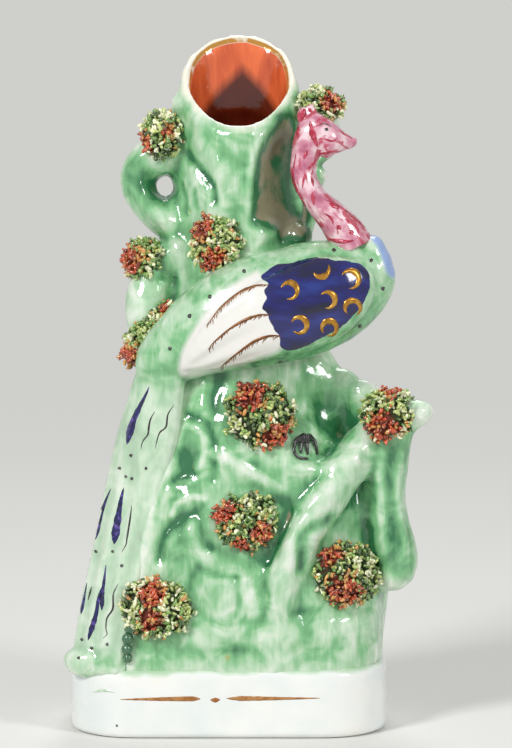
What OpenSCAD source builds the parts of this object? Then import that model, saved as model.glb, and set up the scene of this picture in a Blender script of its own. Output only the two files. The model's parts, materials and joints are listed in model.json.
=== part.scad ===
// Spill vase: a peacock perched before a hollow tree trunk on a low plinth.
// The pieces are pressed or pinched in clay and luted with slip, so each later
// piece is cut to the surface that it is stuck on, less the slip gap.
// Millimetres, +Z up, +X to the viewer's right, +Y away from the viewer.

/* [Plinth] */
// Width of the plinth
plinth_w = 97; // [92:1:104]
// Depth of the plinth
plinth_d = 58; // [54:1:64]
// Height of the plinth wall
plinth_h = 21; // [17:1:25]
// Corner radius in plan
plinth_corner_r = 20; // [14:1:24]
// Thickness of the plinth wall
plinth_wall = 6; // [5:0.5:7]
// Rounding of the foot edge
foot_round = 2; // [1:0.5:3]
// Recess of the base slab above the foot
foot_recess = 2; // [1:0.5:4]
// Thickness of the base slab
slab_t = 4; // [3:0.5:6]
// Diameter of the firing vent
vent_d = 6; // [4:0.5:9]

/* [Tree] */
// Height of the lip at the back
lip_back_h = 211; // [205:1:220]
// Height of the lip at the front
lip_front_h = 186; // [180:1:192]
// Width of the mouth over the lip
mouth_w = 36.4; // [34:0.2:40]
// Depth of the mouth over the lip
mouth_d = 35.4; // [33:0.2:38]
// Mouth's centre to the right of the plinth's centre
mouth_x = 3.2; // [1:0.2:6]
// Mouth's centre behind the plinth's centre
mouth_y = 5.7; // [4:0.1:7]
// Step from the plinth's edge in to the roots
root_step = 1; // [0.5:0.5:2]
// Wall of the pressed halves
tree_wall = 4; // [3.5:0.5:4.5]
// Wall at the lip
lip_t = 2.8; // [2.4:0.2:3.4]
// Depth of the ridges in the bark
bark_depth = 1.2; // [0.6:0.1:1.6]
// Height of the well's floor over the foot
well_floor_h = 72; // [60:1:84]
// Thickness of the well's floor
well_floor_t = 4; // [3:0.5:6]
// Gap that the slip fills between two luted pieces
slip_gap = 0.15; // [0.1:0.05:0.25]

/* [Peacock] */
// Middle of the body to the right of the plinth's centre
perch_x = 14; // [12:0.5:17]
// Middle of the body over the foot
perch_h = 130; // [127:0.5:133]
// Length of the body, measured level
body_l = 73; // [70:1:76]
// Rise of the body from tail to breast
body_rise = 32; // [29:1:35]
// Height of the body across its line
body_h = 34; // [32:0.5:36]
// Thickness of the body
body_t = 27; // [25:0.5:29]
// How deep the body is set into the trunk
body_sink = 12.5; // [11:0.5:14]
// Thickness of the wing
wing_t = 1.8; // [1.2:0.2:2.4]
// Height of the head over the middle of the body
neck_h = 57; // [55:0.5:59]
// Thickness of the neck
neck_t = 8.4; // [7.6:0.2:9.2]
// Length of the head with its beak
head_l = 16.5; // [15:0.5:18]
// Width of the tail
tail_w = 22; // [20:0.5:24]
// Thickness of the tail
tail_t = 10; // [9:0.5:11]

/* [Limbs and tufts] */
// Thickness of the looped limb
loop_t = 10.5; // [9.5:0.25:11.5]
// Thickness of the left stump
stump_t = 13; // [12:0.5:14]
// Thickness of the upright right limb
right_limb_t = 13; // [12:0.5:14]
// Thickness of the root across the front
root_limb_t = 13; // [12:0.5:14]
// Knobs round a tuft
heap_knobs = 18; // [14:2:22]
// How far the shreds of a tuft stand out
shred_depth = 1; // [0.6:0.1:1.4]

/* [Hidden] */
$fn = 64;

// Clay and glaze colours
white_glaze = "#ece8dc";
green_glaze = "#a9cfae";
bird_green = "#c6dcc4";
wing_blue = "#2f2f8c";
neck_pink = "#d98fa4";
claw_black = "#26221f";
leaf_green = "#54803c";
biscuit = "#d8c9b0";

// Helpers: mixing, smooth curves through points, and directions
function mix(a, b, t) = a + (b - a) * t;
function clamp(v, low, high) = min(max(v, low), high);
function unit(v) = v / norm(v);
function wrapped(a) = a - 360 * round(a / 360);
function spline(p, t) =
    let (n = len(p) - 1, s = clamp(t, 0, 1) * n, i = min(floor(s), n - 1), f = s - i,
         a = p[max(i - 1, 0)], b = p[i], c = p[i + 1], d = p[min(i + 2, n)])
    0.5 * (2 * b + (c - a) * f + (2 * a - 5 * b + 4 * c - d) * f * f
           + (3 * b - 3 * c + d - a) * f * f * f);

// Helpers: a skin of triangles over rings, and a shell between two sheets
function quad(a, b, c, d) = [[a, b, c], [a, c, d]];

module loft(rings) {
    m = len(rings);
    n = len(rings[0]);
    last = (m - 1) * n;
    sides = [for (i = [0 : m - 2], j = [0 : n - 1])
        let (a = i * n + j, b = i * n + (j + 1) % n)
        each quad(a, a + n, b + n, b)];
    ends = [for (j = [1 : n - 2]) each [[0, j, j + 1], [last, last + j + 1, last + j]]];
    polyhedron([for (ring = rings) each ring], concat(sides, ends));
}

module shell(outer, inner) {
    m = len(outer);
    n = len(outer[0]);
    function at(side, i, j) = (side * m + i) * n + j;
    faces = concat(
        [for (i = [0 : m - 2], j = [0 : n - 2]) each concat(
            quad(at(0, i, j), at(0, i + 1, j), at(0, i + 1, j + 1), at(0, i, j + 1)),
            quad(at(1, i, j), at(1, i, j + 1), at(1, i + 1, j + 1), at(1, i + 1, j)))],
        [for (j = [0 : n - 2]) each concat(
            quad(at(0, 0, j), at(0, 0, j + 1), at(1, 0, j + 1), at(1, 0, j)),
            quad(at(0, m - 1, j), at(1, m - 1, j), at(1, m - 1, j + 1), at(0, m - 1, j + 1)))],
        [for (i = [0 : m - 2]) each concat(
            quad(at(0, i, 0), at(1, i, 0), at(1, i + 1, 0), at(0, i + 1, 0)),
            quad(at(0, i, n - 1), at(0, i + 1, n - 1), at(1, i + 1, n - 1), at(1, i, n - 1)))]);
    polyhedron([for (grid = [outer, inner], row = grid) each row], faces);
}

// Helpers: a rolled piece of clay. A path has places and radii, [in the upright
// plane, in depth]; roll turns the section about the path.
function path_frame(path, t, roll) =
    let (d = unit(spline(path, t + 0.01) - spline(path, t - 0.01)),
         u = unit(cross([0, 1, 0], d)), w = cross(d, u))
    [u * cos(roll) + w * sin(roll), w * cos(roll) - u * sin(roll)];
function on_roll(path, radii, t, a, grow = 0, roll = 0) =
    let (f = path_frame(path, t, roll), r = spline(radii, t))
    spline(path, t) + f[0] * (max(r[0], 0.4) + grow) * cos(a)
                    + f[1] * (max(r[1], 0.4) + grow) * sin(a);
module rolled(path, radii, rows, sides, grow = 0, roll = 0) {
    loft([for (i = [0 : rows])
        [for (j = [0 : sides - 1]) on_roll(path, radii, i / rows, 360 * j / sides, grow, roll)]]);
}

// Helper: stand a child on a place, its Z along a direction and its X level
module stand(place, out) {
    z = unit(out);
    x = unit(cross([0, 0, 1], z));
    y = cross(z, x);
    multmatrix([[x[0], y[0], z[0], place[0]], [x[1], y[1], z[1], place[1]],
                [x[2], y[2], z[2], place[2]], [0, 0, 0, 1]]) children();
}

// Plinth: a moulded wall run round a rounded oblong
straight_x = plinth_w - 2 * plinth_corner_r;
straight_y = plinth_d - 2 * plinth_corner_r;

module plinth_profile() {
    translate([-plinth_wall, 0]) square([plinth_wall - foot_round, plinth_h]);
    translate([-plinth_wall, foot_round]) square([plinth_wall, plinth_h - 2 * foot_round]);
    for (z = [foot_round, plinth_h - foot_round]) translate([-foot_round, z]) circle(foot_round);
}

module oblong(w, d, r) {
    square([w - 2 * r, d], center = true);
    square([w, d - 2 * r], center = true);
    for (x = [-1, 1], y = [-1, 1]) translate([x * (w / 2 - r), y * (d / 2 - r)]) circle(r);
}

module plinth() {
    color(white_glaze) {
        for (x = [0, 1], y = [0, 1])
            translate([(x - 0.5) * straight_x, (y - 0.5) * straight_y])
                rotate(x == 1 ? (y == 1 ? 0 : 270) : (y == 1 ? 90 : 180))
                    rotate_extrude(angle = 90) translate([plinth_corner_r, 0]) plinth_profile();
        for (turn = [0, 180]) rotate(turn) {
            translate([plinth_w / 2, straight_y / 2]) rotate([90, 0, 0])
                linear_extrude(straight_y) plinth_profile();
            translate([-straight_x / 2, plinth_d / 2]) rotate([90, 0, 90])
                linear_extrude(straight_x) plinth_profile();
        }
    }
}

// Base slab: closes the plinth from below, with the firing vent
module base_slab() {
    inset = plinth_wall + slip_gap;
    color(biscuit) translate([0, 0, foot_recess]) difference() {
        linear_extrude(slab_t)
            oblong(plinth_w - 2 * inset, plinth_d - 2 * inset, plinth_corner_r - inset);
        translate([0, 0, -1]) cylinder(d = vent_d, h = slab_t + 2);
    }
}

// Tree: sections from the roots (turn t = 0) to the lip (t = 1). The tapers are
// shares of the way from the plinth's edge to the mouth, on each flank.
left_taper = [0.05, 0.24, 0.42, 0.66, 0.84, 0.9, 0.97, 1];
right_taper = [0.02, -0.02, 0.10, 0.5, 0.78, 0.94, 1, 1];
front_taper = [0.02, 0.06, 0.18, 0.42, 0.76, 0.96, 1, 1];
back_taper = [0.1, 0.5, 0.9, 1.1, 1.1, 1.05, 1, 1];
// How square a section is; 2 is an ellipse
front_square = [3.4, 2.7, 2.3, 2.1, 2, 2, 1.9, 1.6];
back_square = [3.4, 2.7, 2.4, 2.2, 2.2, 2.2, 2.3, 2.5];
// Hollows and swellings: angle, turn, spread in angle, spread in turn, depth
tree_forms = [
    [318, 0.47, 20, 0.06, -4.5],  // hollow under the breast
    [312, 0.37, 24, 0.035, 2.5],  // ledge for the claw
    [350, 0.46, 20, 0.05, 7],     // saddle between trunk and right limb
    [272, 0.26, 15, 0.055, -4.5], // hollow behind the middle tuft
    [243, 0.24, 9, 0.08, 2.6],    // ridge beside that hollow
    [328, 0.17, 13, 0.06, -3.5],  // hollow between the right limbs
    [300, 0.05, 14, 0.05, 1.2],   // root swelling at the front
    [70, 0.22, 24, 0.09, -2.5],   // shallow hollow at the back
    [120, 0.12, 18, 0.07, 1.5]];  // root swelling at the back

tree_columns = 22;
tree_rows = concat([for (i = [0 : 18]) 0.985 * i / 18], [1]);
root_x = plinth_w / 2 - root_step;
root_y = plinth_d / 2 - root_step;
lip_round = 0.8;

function lip_h(a) = mix(lip_front_h, lip_back_h, 0.5 + 0.5 * sin(a));
function tree_z(a, t) = mix(plinth_h, lip_h(a), t);
function tree_t(a, z) = (z - plinth_h) / (lip_h(a) - plinth_h);
function flanks(t) = [
    mix(-root_x, mouth_x - mouth_w / 2, spline(left_taper, t)),
    mix(root_x, mouth_x + mouth_w / 2, spline(right_taper, t)),
    mix(-root_y, mouth_y - mouth_d / 2, spline(front_taper, t)),
    mix(root_y, mouth_y + mouth_d / 2, spline(back_taper, t))];
function section_r(a, t) =
    let (f = flanks(t), n = spline(sin(a) < 0 ? front_square : back_square, t))
    pow(pow(abs(cos(a)) * 2 / (f[1] - f[0]), n) + pow(abs(sin(a)) * 2 / (f[3] - f[2]), n), -1 / n);
function pressed(a, t) = [for (f = tree_forms)
    f[4] * exp(-pow(wrapped(a - f[0]) / f[2], 2) - pow((t - f[1]) / f[3], 2))] * [for (f = tree_forms) 1];
function bark(a, t) = bark_depth * min(1, 8 * t, 8 * (1 - t))
    * (0.6 * sin(7 * a + 200 * t) + 0.4 * sin(10 * a - 400 * t + 40));
function in_section(a, t, r) =
    let (f = flanks(t))
    [(f[0] + f[1]) / 2 + r * cos(a), (f[2] + f[3]) / 2 + r * sin(a), tree_z(a, t)];
function tree_out(a, t, grow = 0) =
    in_section(a, t, section_r(a, t) + pressed(a, t) + bark(a, t) + grow - (t == 1 ? lip_round : 0));
function tree_in(a, t, grow = 0) =
    let (wall = mix(tree_wall, lip_t, clamp(8 * t - 7, 0, 1)))
    in_section(a, t, section_r(a, t) + pressed(a, t) + grow - wall + (t == 1 ? lip_round : 0));
// Way out of the tree's skin at an angle and height
function tree_normal(a, t) =
    unit(cross(tree_out(a + 3, t) - tree_out(a - 3, t), tree_out(a, t + 0.02) - tree_out(a, t - 0.02)));

module tree_half(from) {
    angles = [for (j = [0 : tree_columns]) from + 180 * j / tree_columns];
    shell([for (t = tree_rows) [for (a = angles) tree_out(a, t)]],
          [for (t = tree_rows) [for (a = angles) tree_in(a, t)]]);
}

// The whole tree without its hollow, grown, to cut what is stuck on it
module tree_cut(grow = slip_gap) {
    loft([for (t = tree_rows)
        [for (j = [0 : 2 * tree_columns - 1]) tree_out(180 * j / tree_columns, t, grow)]]);
}

module tree_front() { color(green_glaze) tree_half(180); }

module tree_back() { color(green_glaze) tree_half(0); }

// Well floor: a slab cut to the inside of the trunk
module well_floor() {
    rim = 2 * slip_gap;
    color(biscuit) loft([for (z = [well_floor_h - well_floor_t, well_floor_h])
        [for (j = [0 : 2 * tree_columns - 1])
            let (a = 180 * j / tree_columns, p = tree_in(a, tree_t(a, z), -rim)) [p[0], p[1], z]]]);
}

// Limbs: each leaves the tree at an angle and height, and runs by offsets from there
function from_tree(a, z, offsets) =
    let (root = tree_out(a, tree_t(a, z))) [for (o = offsets) root + o];
function even(list, across) = [for (r = list) across / 2 * [r, r]];

loop_path = from_tree(180, 168, [[6, 0, 11], [-3, -2, 9], [-9, -2, 5.6], [-10.8, -2, 0],
                                 [-7.5, -2, -6.5], [-1.2, -2, -11.5], [7, -2, -18]]);
loop_radii = even([1, 1.15, 1.1, 1.1, 1.1, 1.2, 1], loop_t);
stump_path = from_tree(188, 130, [[9, 0, 18], [0, -2, 14], [-5, -3, 7], [-6, -4, -2], [-2.5, -4, -10],
                                  [7, -3, -16]]);
stump_radii = even([0.8, 0.95, 1, 1.05, 0.95, 0.8], stump_t);
stub_path = from_tree(335, 151, [[-6, 5, -2], [0, 0, 0], [3.4, -2.4, 1.2], [4.8, -3.4, 1.6]]);
stub_radii = [[4.5, 4.5], [4.6, 4.6], [3.6, 3.6], [0.6, 0.6]];
back_limb_path = from_tree(0, 150, [[-5, 0, -4], [0, 0, 4], [2, -0.5, 12], [4.5, -1, 20], [7, -1.5, 27],
                                    [7.5, -2, 33], [5, -2.5, 40]]);
back_limb_radii = [[4, 4], [3.4, 3.4], [2.8, 2.8], [2.6, 2.6], [2.6, 2.6], [2.8, 2.8], [3, 3]];
right_limb_path = from_tree(345, 70, [[2, 1, -24], [6.5, -1, -22.5], [8.6, -1, -17], [6.6, -1, -9],
                                      [5, -1, 0], [5.5, -1, 10], [7, -2, 20], [11, -3, 26.5],
                                      [17, -3.5, 29], [20, -3.6, 29.8]]);
right_limb_radii = even([0.4, 0.92, 1.1, 1.06, 1.04, 1.04, 0.96, 0.76, 0.64, 0.16], right_limb_t);
root_limb_path = from_tree(310, 66, [[21, 13, 28], [13, 8, 18], [5, 4, 8], [-2, 1, -2], [-7, 0, -13],
                                     [-9.5, 0, -25], [-10, 3, -38]]);
root_limb_radii = even([0.8, 0.95, 1, 1, 0.95, 0.9, 0.8], root_limb_t);

module loop_cut(grow = 0) { rolled(loop_path, loop_radii, 14, 14, grow); }
module stump_cut(grow = 0) { rolled(stump_path, stump_radii, 10, 14, grow); }
module stub_cut(grow = 0) { rolled(stub_path, stub_radii, 7, 12, grow); }
module back_limb_cut(grow = 0) { rolled(back_limb_path, back_limb_radii, 14, 10, grow); }
module right_limb_cut(grow = 0) { rolled(right_limb_path, right_limb_radii, 18, 14, grow); }
module root_limb_cut(grow = 0) { rolled(root_limb_path, root_limb_radii, 12, 14, grow); }

module left_loop_limb() { color(green_glaze) difference() { loop_cut(); tree_cut(); } }

module left_stump() {
    color(green_glaze) difference() { stump_cut(); tree_cut(); loop_cut(slip_gap); }
}

module right_stub() { color(green_glaze) difference() { stub_cut(); tree_cut(); } }

module back_limb() {
    color(green_glaze) difference() { back_limb_cut(); tree_cut(); stub_cut(slip_gap); }
}

module right_limb() { color(green_glaze) difference() { right_limb_cut(); tree_cut(); } }

module root_limb() {
    color(green_glaze) difference() {
        root_limb_cut();
        tree_cut();
        right_limb_cut(slip_gap);
    }
}

module bud() {
    color(green_glaze) difference() {
        stand(tree_out(183, tree_t(183, 192)), [-1, -0.2, 0.4]) scale([2.2, 4.2, 2.6]) sphere(1, $fn = 12);
        tree_cut();
    }
}

// Peacock: the body's line runs up from the tail to the breast
perch = [perch_x, flanks(tree_t(270, perch_h))[2] - body_t / 2 + body_sink, perch_h];
body_path = [for (p = [[-0.55, -0.66], [-0.5, -0.55], [-0.39, -0.36], [-0.25, -0.17], [-0.08, -0.02],
                       [0.08, 0.06], [0.24, 0.18], [0.385, 0.32], [0.46, 0.40], [0.488, 0.44]])
    perch + [p[0] * body_l, 0, p[1] * body_rise]];
body_radii = [for (r = [0.12, 0.42, 0.62, 0.84, 0.98, 1, 0.94, 0.68, 0.36, 0.04])
    r / 2 * [body_h, body_t]];
function on_body(t, a, grow = 0) = on_roll(body_path, body_radii, t, a, grow);
module body_cut(grow = 0) { rolled(body_path, body_radii, 18, 24, grow); }

module peacock_body() {
    color(bird_green) difference() {
        body_cut();
        tree_cut();
        stub_cut(slip_gap);
        stump_cut(slip_gap);
    }
}

// Wing: a pad laid on the body's near side, round at the shoulder, drawn out to
// a tip, and ridged along its quills
wing_from = 0.2;
wing_to = 0.805;
wing_spread = 58;
quills = 3;
function wing_half(s) = wing_spread * pow(s, 0.38) * sqrt(1 - pow(max(s - 0.5, 0) / 0.5, 2.4));
function wing_at(s, v, grow) =
    on_body(mix(wing_from, wing_to, s), 268 + 30 * pow(1 - s, 1.6) + v * max(wing_half(s), 4), grow);
function wing_relief(s, v) =
    let (ridge = 0.25 * cos(360 * quills * (v + 1) / 2) * clamp(2 - 3.4 * s, 0, 1),
         edge = sqrt(clamp(1.05 - pow(abs(v), 4), 0.1, 1)) * sqrt(clamp(7 * s, 0.1, 1))
                * sqrt(clamp(7 * (1 - s), 0.15, 1)))
    2 * slip_gap + wing_t * edge * (1 + ridge);

module peacock_wing() {
    rows = [for (i = [0 : 14]) i / 14];
    columns = [for (j = [0 : 12]) 1 - j / 6];
    color(wing_blue) shell([for (v = columns) [for (s = rows) wing_at(s, v, wing_relief(s, v))]],
                           [for (v = columns) [for (s = rows) wing_at(s, v, 2 * slip_gap)]]);
}

// Neck and head: an S that leaves the breast, and a head that tapers to the beak
neck_path = [for (p = [[0.42, 0, 0.33], [0.36, 0, 0.455], [0.245, 0.01, 0.595], [0.165, 0.03, 0.71],
                       [0.15, 0.045, 0.81], [0.17, 0.05, 0.9], [0.2, 0.05, 0.96]])
    perch + neck_h * p];
neck_radii = even([1.55, 1.35, 1.08, 0.98, 0.96, 1.05, 1], neck_t);
head_path = [for (p = [[-0.3, 0.08], [-0.1, 0.03], [0.14, -0.05], [0.38, -0.13], [0.56, -0.19],
                       [0.68, -0.235], [0.74, -0.26]])
    perch + [0.24 * neck_h + head_l * p[0], 0.05 * neck_h, 0.975 * neck_h + head_l * p[1]]];
head_radii = even([0.5, 1.12, 1.3, 1.0, 0.6, 0.36, 0.14], neck_t);
module neck_cut(grow = 0) {
    rolled(neck_path, neck_radii, 14, 14, grow);
    rolled(head_path, head_radii, 10, 14, grow);
}

module peacock_neck() {
    color(neck_pink) difference() {
        neck_cut();
        body_cut(slip_gap);
        tree_cut();
        back_limb_cut(slip_gap);
        stub_cut(slip_gap);
    }
}

// Crest: a fan of short plumes on the crown
module peacock_crest() {
    crown = spline(head_path, 0.12);
    color(neck_pink) difference() {
        for (k = [0 : 3]) {
            lean = 22 * k - 50;
            tip = crown + [sin(lean) * 5.2, -0.6, cos(lean) * 5.4];
            hull() {
                translate(crown) sphere(1.2, $fn = 10);
                translate(tip) sphere(1.1, $fn = 10);
            }
        }
        neck_cut(slip_gap);
    }
}

// Tail: the train, laid from the body's end down to the plinth's corner
tail_tip = [-plinth_w / 2 + 8.5, -plinth_d / 2 + 6.5, plinth_h];
tail_root = body_path[1] + [3, 0, 2];
tail_path = [for (p = [[0, 0], [0.2, -2.5], [0.42, -4.5], [0.62, -3.5], [0.82, -1.2], [1, 0]])
    mix(tail_root, tail_tip, p[0]) - [0, p[1], 0]];
tail_radii = [for (r = [[0.7, 1.15], [0.92, 1.1], [0.98, 1], [0.95, 0.95], [0.95, 0.9], [0.85, 0.7]])
    [r[0] * tail_w, r[1] * tail_t] / 2];
tail_roll = 32;
feather_ridges = 5;
function on_tail(t, a, grow) =
    let (ridge = 0.5 * clamp(4 * t - 1, 0, 1) * cos(2 * feather_ridges * a),
         p = on_roll(tail_path, tail_radii, t, a, grow + ridge, tail_roll))
    t < 1 ? p : [p[0], p[1], plinth_h + slip_gap];
module tail_cut(grow = 0) {
    loft([for (i = [0 : 13]) [for (j = [0 : 19]) on_tail(i / 13, 18 * j, grow)]]);
}

module peacock_tail() {
    color(bird_green) difference() {
        tail_cut();
        tree_cut();
        body_cut(slip_gap);
    }
}

// Foot: three toes and a spur on the ledge under the bird
module peacock_foot() {
    a = 312;
    heel = tree_out(a, tree_t(a, 88)) + 0.6 * tree_normal(a, tree_t(a, 88));
    color(claw_black) difference() {
        for (toe = [-60, -15, 30, 150]) {
            tip = heel + [4 * sin(toe), -1.6 * cos(toe) - 0.5, -3.4 * cos(toe)];
            hull() {
                translate(heel) sphere(1.7, $fn = 10);
                translate(tip) sphere(1.1, $fn = 10);
            }
        }
        tree_cut();
        root_limb_cut(slip_gap);
    }
}

// Tufts: clay pushed through a sieve and set down in a heap, its shreds standing
// out as knobs. size is [width, height, depth]; lean turns the heap about its way out.
heap_rows = 6;
function heap_ring(i, size, chance) =
    let (rise = 90 * max(i - 1, 0) / (heap_rows - 0.6))
    [for (j = [0 : heap_knobs - 1])
        let (knob = i % 2 == 1 && (j + (i - 1) / 2) % 2 == 0 ? 1 : -0.6,
             shake = 0.4 * chance[i * heap_knobs + j],
             reach = 1 + shred_depth * (knob + shake) / min(size),
             turn = 360 * (j + 0.3 * shake) / heap_knobs)
        [reach * size[0] / 2 * cos(rise) * cos(turn), reach * size[1] / 2 * cos(rise) * sin(turn),
         i == 0 ? -3 : reach * size[2] * sin(rise)]];
module tuft(place, out, size, seed, lean = 0) {
    chance = rands(-1, 1, (heap_rows + 1) * heap_knobs, seed);
    stand(place, out) rotate(lean) loft([for (i = [0 : heap_rows]) heap_ring(i, size, chance)]);
}

// A tuft on the tree's skin at an angle and height
module tree_tuft(a, z, size, seed, lean = 0, sink = 1) {
    t = tree_t(a, z);
    n = tree_normal(a, t);
    color(leaf_green) difference() {
        tuft(tree_out(a, t) - sink * n, n, size, seed, lean);
        tree_cut();
        children();
    }
}

// A tuft on a limb, on the side that faces a direction
module limb_tuft(path, radii, along, out, size, seed, lean = 0) {
    place = spline(path, along) + (spline(radii, along)[0] - 1) * unit(out);
    color(leaf_green) difference() {
        tuft(place, out, size, seed, lean);
        tree_cut();
        children();
    }
}

module tuft_top_left() {
    limb_tuft(loop_path, loop_radii, 0.17, [-0.1, -0.55, 0.8], [13.5, 15, 9], 1) loop_cut(slip_gap);
}

module tuft_left_upper() {
    limb_tuft(stump_path, stump_radii, 0.27, [-0.9, -0.45, 0.4], [13, 14, 7], 2) {
        stump_cut(slip_gap);
        loop_cut(slip_gap);
    }
}

module tuft_left_lower() {
    limb_tuft(stump_path, stump_radii, 0.74, [-0.12, -0.98, 0], [24, 11.5, 5], 3, 48) {
        stump_cut(slip_gap);
        body_cut(slip_gap);
        tail_cut(slip_gap);
    }
}

module tuft_trunk_front() { tree_tuft(251, 150, [16, 19, 6.5], 4) body_cut(slip_gap); }

module tuft_behind_head() {
    limb_tuft(back_limb_path, back_limb_radii, 0.96, [-0.4, -0.5, 0.75], [15, 12, 7], 5) {
        back_limb_cut(slip_gap);
        neck_cut(slip_gap);
        crest_room();
    }
}

// Room for the crest in the tuft behind it
module crest_room() {
    translate(spline(head_path, 0.12) + [-2.4, -0.6, 2.6]) sphere(6.4, $fn = 24);
}

module tuft_centre() {
    tree_tuft(287, 98, [23, 23, 9], 6) {
        body_cut(slip_gap);
        root_limb_cut(slip_gap);
    }
}

module tuft_right() {
    limb_tuft(right_limb_path, right_limb_radii, 0.71, [-0.4, -0.4, 0.9], [18, 19, 9], 7) {
        right_limb_cut(slip_gap);
        root_limb_cut(slip_gap);
        body_cut(slip_gap);
    }
}

module tuft_hollow() { tree_tuft(272, 66, [25, 21, 9], 8) root_limb_cut(slip_gap); }

module tuft_right_lower() {
    tree_tuft(329, 49.5, [26, 23, 9], 9) {
        root_limb_cut(slip_gap);
        right_limb_cut(slip_gap);
    }
}

module tuft_left_foot() {
    tree_tuft(224, 40, [24, 20.5, 8], 10) tail_cut(slip_gap);
}

plinth();
base_slab();
tree_front();
tree_back();
well_floor();
left_loop_limb();
left_stump();
right_stub();
back_limb();
right_limb();
root_limb();
bud();
peacock_body();
peacock_wing();
peacock_neck();
peacock_crest();
peacock_tail();
peacock_foot();
tuft_top_left();
tuft_left_upper();
tuft_left_lower();
tuft_trunk_front();
tuft_behind_head();
tuft_centre();
tuft_right();
tuft_hollow();
tuft_right_lower();
tuft_left_foot();
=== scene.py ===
"""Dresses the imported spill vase: glazed tree, painted peacock, sieved clay tufts and a plain studio."""

import json
import math
import random

import bmesh
import bpy
import numpy as np
from bpy.props import FloatProperty, FloatVectorProperty, IntProperty, PointerProperty
from mathutils import Matrix, Vector, noise
from mathutils.bvhtree import BVHTree

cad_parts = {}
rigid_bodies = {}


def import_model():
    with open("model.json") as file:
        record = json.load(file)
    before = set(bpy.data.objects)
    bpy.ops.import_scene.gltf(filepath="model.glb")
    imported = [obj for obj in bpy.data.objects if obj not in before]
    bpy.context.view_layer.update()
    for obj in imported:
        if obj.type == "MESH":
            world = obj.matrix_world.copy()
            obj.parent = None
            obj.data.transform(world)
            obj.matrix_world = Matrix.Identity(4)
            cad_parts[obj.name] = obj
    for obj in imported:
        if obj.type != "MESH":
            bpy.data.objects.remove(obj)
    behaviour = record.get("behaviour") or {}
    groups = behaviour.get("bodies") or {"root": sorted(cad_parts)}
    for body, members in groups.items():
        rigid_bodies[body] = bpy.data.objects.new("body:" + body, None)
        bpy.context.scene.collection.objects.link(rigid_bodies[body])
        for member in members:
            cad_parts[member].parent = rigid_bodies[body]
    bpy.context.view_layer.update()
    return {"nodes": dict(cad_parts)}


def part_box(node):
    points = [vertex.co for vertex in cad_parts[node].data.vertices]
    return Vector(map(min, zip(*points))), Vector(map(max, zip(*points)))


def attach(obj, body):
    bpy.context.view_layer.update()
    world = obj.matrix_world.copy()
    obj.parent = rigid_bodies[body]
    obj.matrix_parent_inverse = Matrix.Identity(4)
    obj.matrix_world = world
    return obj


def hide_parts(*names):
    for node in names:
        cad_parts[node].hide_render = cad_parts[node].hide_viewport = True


bl_info = {
    "name": "Spill Vase Dressing",
    "version": (1, 0, 0),
    "blender": (4, 5, 0),
    "location": "View3D > Sidebar > Vase",
    "description": "Builds the glazed tree, the peacock and the tufts over the packed vase",
    "category": "Object",
}

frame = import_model()
MM = 0.001

# Nodes that are luted and glazed into one tree
TREE_NODES = (
    "tree_front", "tree_back", "well_floor", "left_loop_limb", "left_stump",
    "right_stub", "back_limb", "right_limb", "root_limb", "bud",
)
BIRD_NODES = ("peacock_body", "peacock_wing", "peacock_tail")
NECK_NODES = ("peacock_neck", "peacock_crest")
TUFT_NODES = tuple(sorted(n for n in frame["nodes"] if n.startswith("tuft_")))

# Camera, in front-view millimetres: u to the right, v up, both through the foot's middle
VIEW_TILT = math.radians(7.6)
VIEW_DISTANCE = 1600.0
VIEW_MIDDLE = (8.4, 107.4)
VIEW_HEIGHT = 231.9
LOOK = Vector((0.0, math.cos(VIEW_TILT), -math.sin(VIEW_TILT)))
RIGHT = Vector((1.0, 0.0, 0.0))
UP = Vector((0.0, math.sin(VIEW_TILT), math.cos(VIEW_TILT)))
AIM = RIGHT * VIEW_MIDDLE[0] + UP * VIEW_MIDDLE[1]
EYE = AIM - LOOK * VIEW_DISTANCE

# Lip of the trunk at the front and the back, in y and z, and the trunk's middle in x and y, in millimetres
LIP_FRONT = (-12.0, 186.0)
LIP_BACK = (23.4, 211.0)
LIP_SLOPE = (LIP_BACK[1] - LIP_FRONT[1]) / (LIP_BACK[0] - LIP_FRONT[0])
TRUNK_MIDDLE = (3.2, 5.7)

# Rolls of clay laid on the tree: name, front-view path, radius and the height that stands proud
CLAY_ROLLS = (
    ("loop lower arm", ((-28.0, 161.5), (-21.6, 156.4), (-16.8, 149.4), (-14.4, 142.0), (-13.6, 133.0)),
     3.2, 2.0),
    ("bowl lip", ((17.0, 79.4), (24.5, 77.4), (32.0, 78.4), (38.0, 81.4), (43.0, 86.0)), 3.6, 1.8),
    ("root ridge", ((42.5, 85.0), (33.5, 73.0), (25.0, 63.5), (18.6, 53.0), (15.0, 43.0)), 4.6, 1.4),
    ("beside the train", ((-13.0, 100.0), (-17.5, 84.0), (-22.0, 66.0), (-27.0, 48.0), (-30.6, 30.0),
                          (-31.8, 16.5)), 4.6, 2.2),
)

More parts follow.
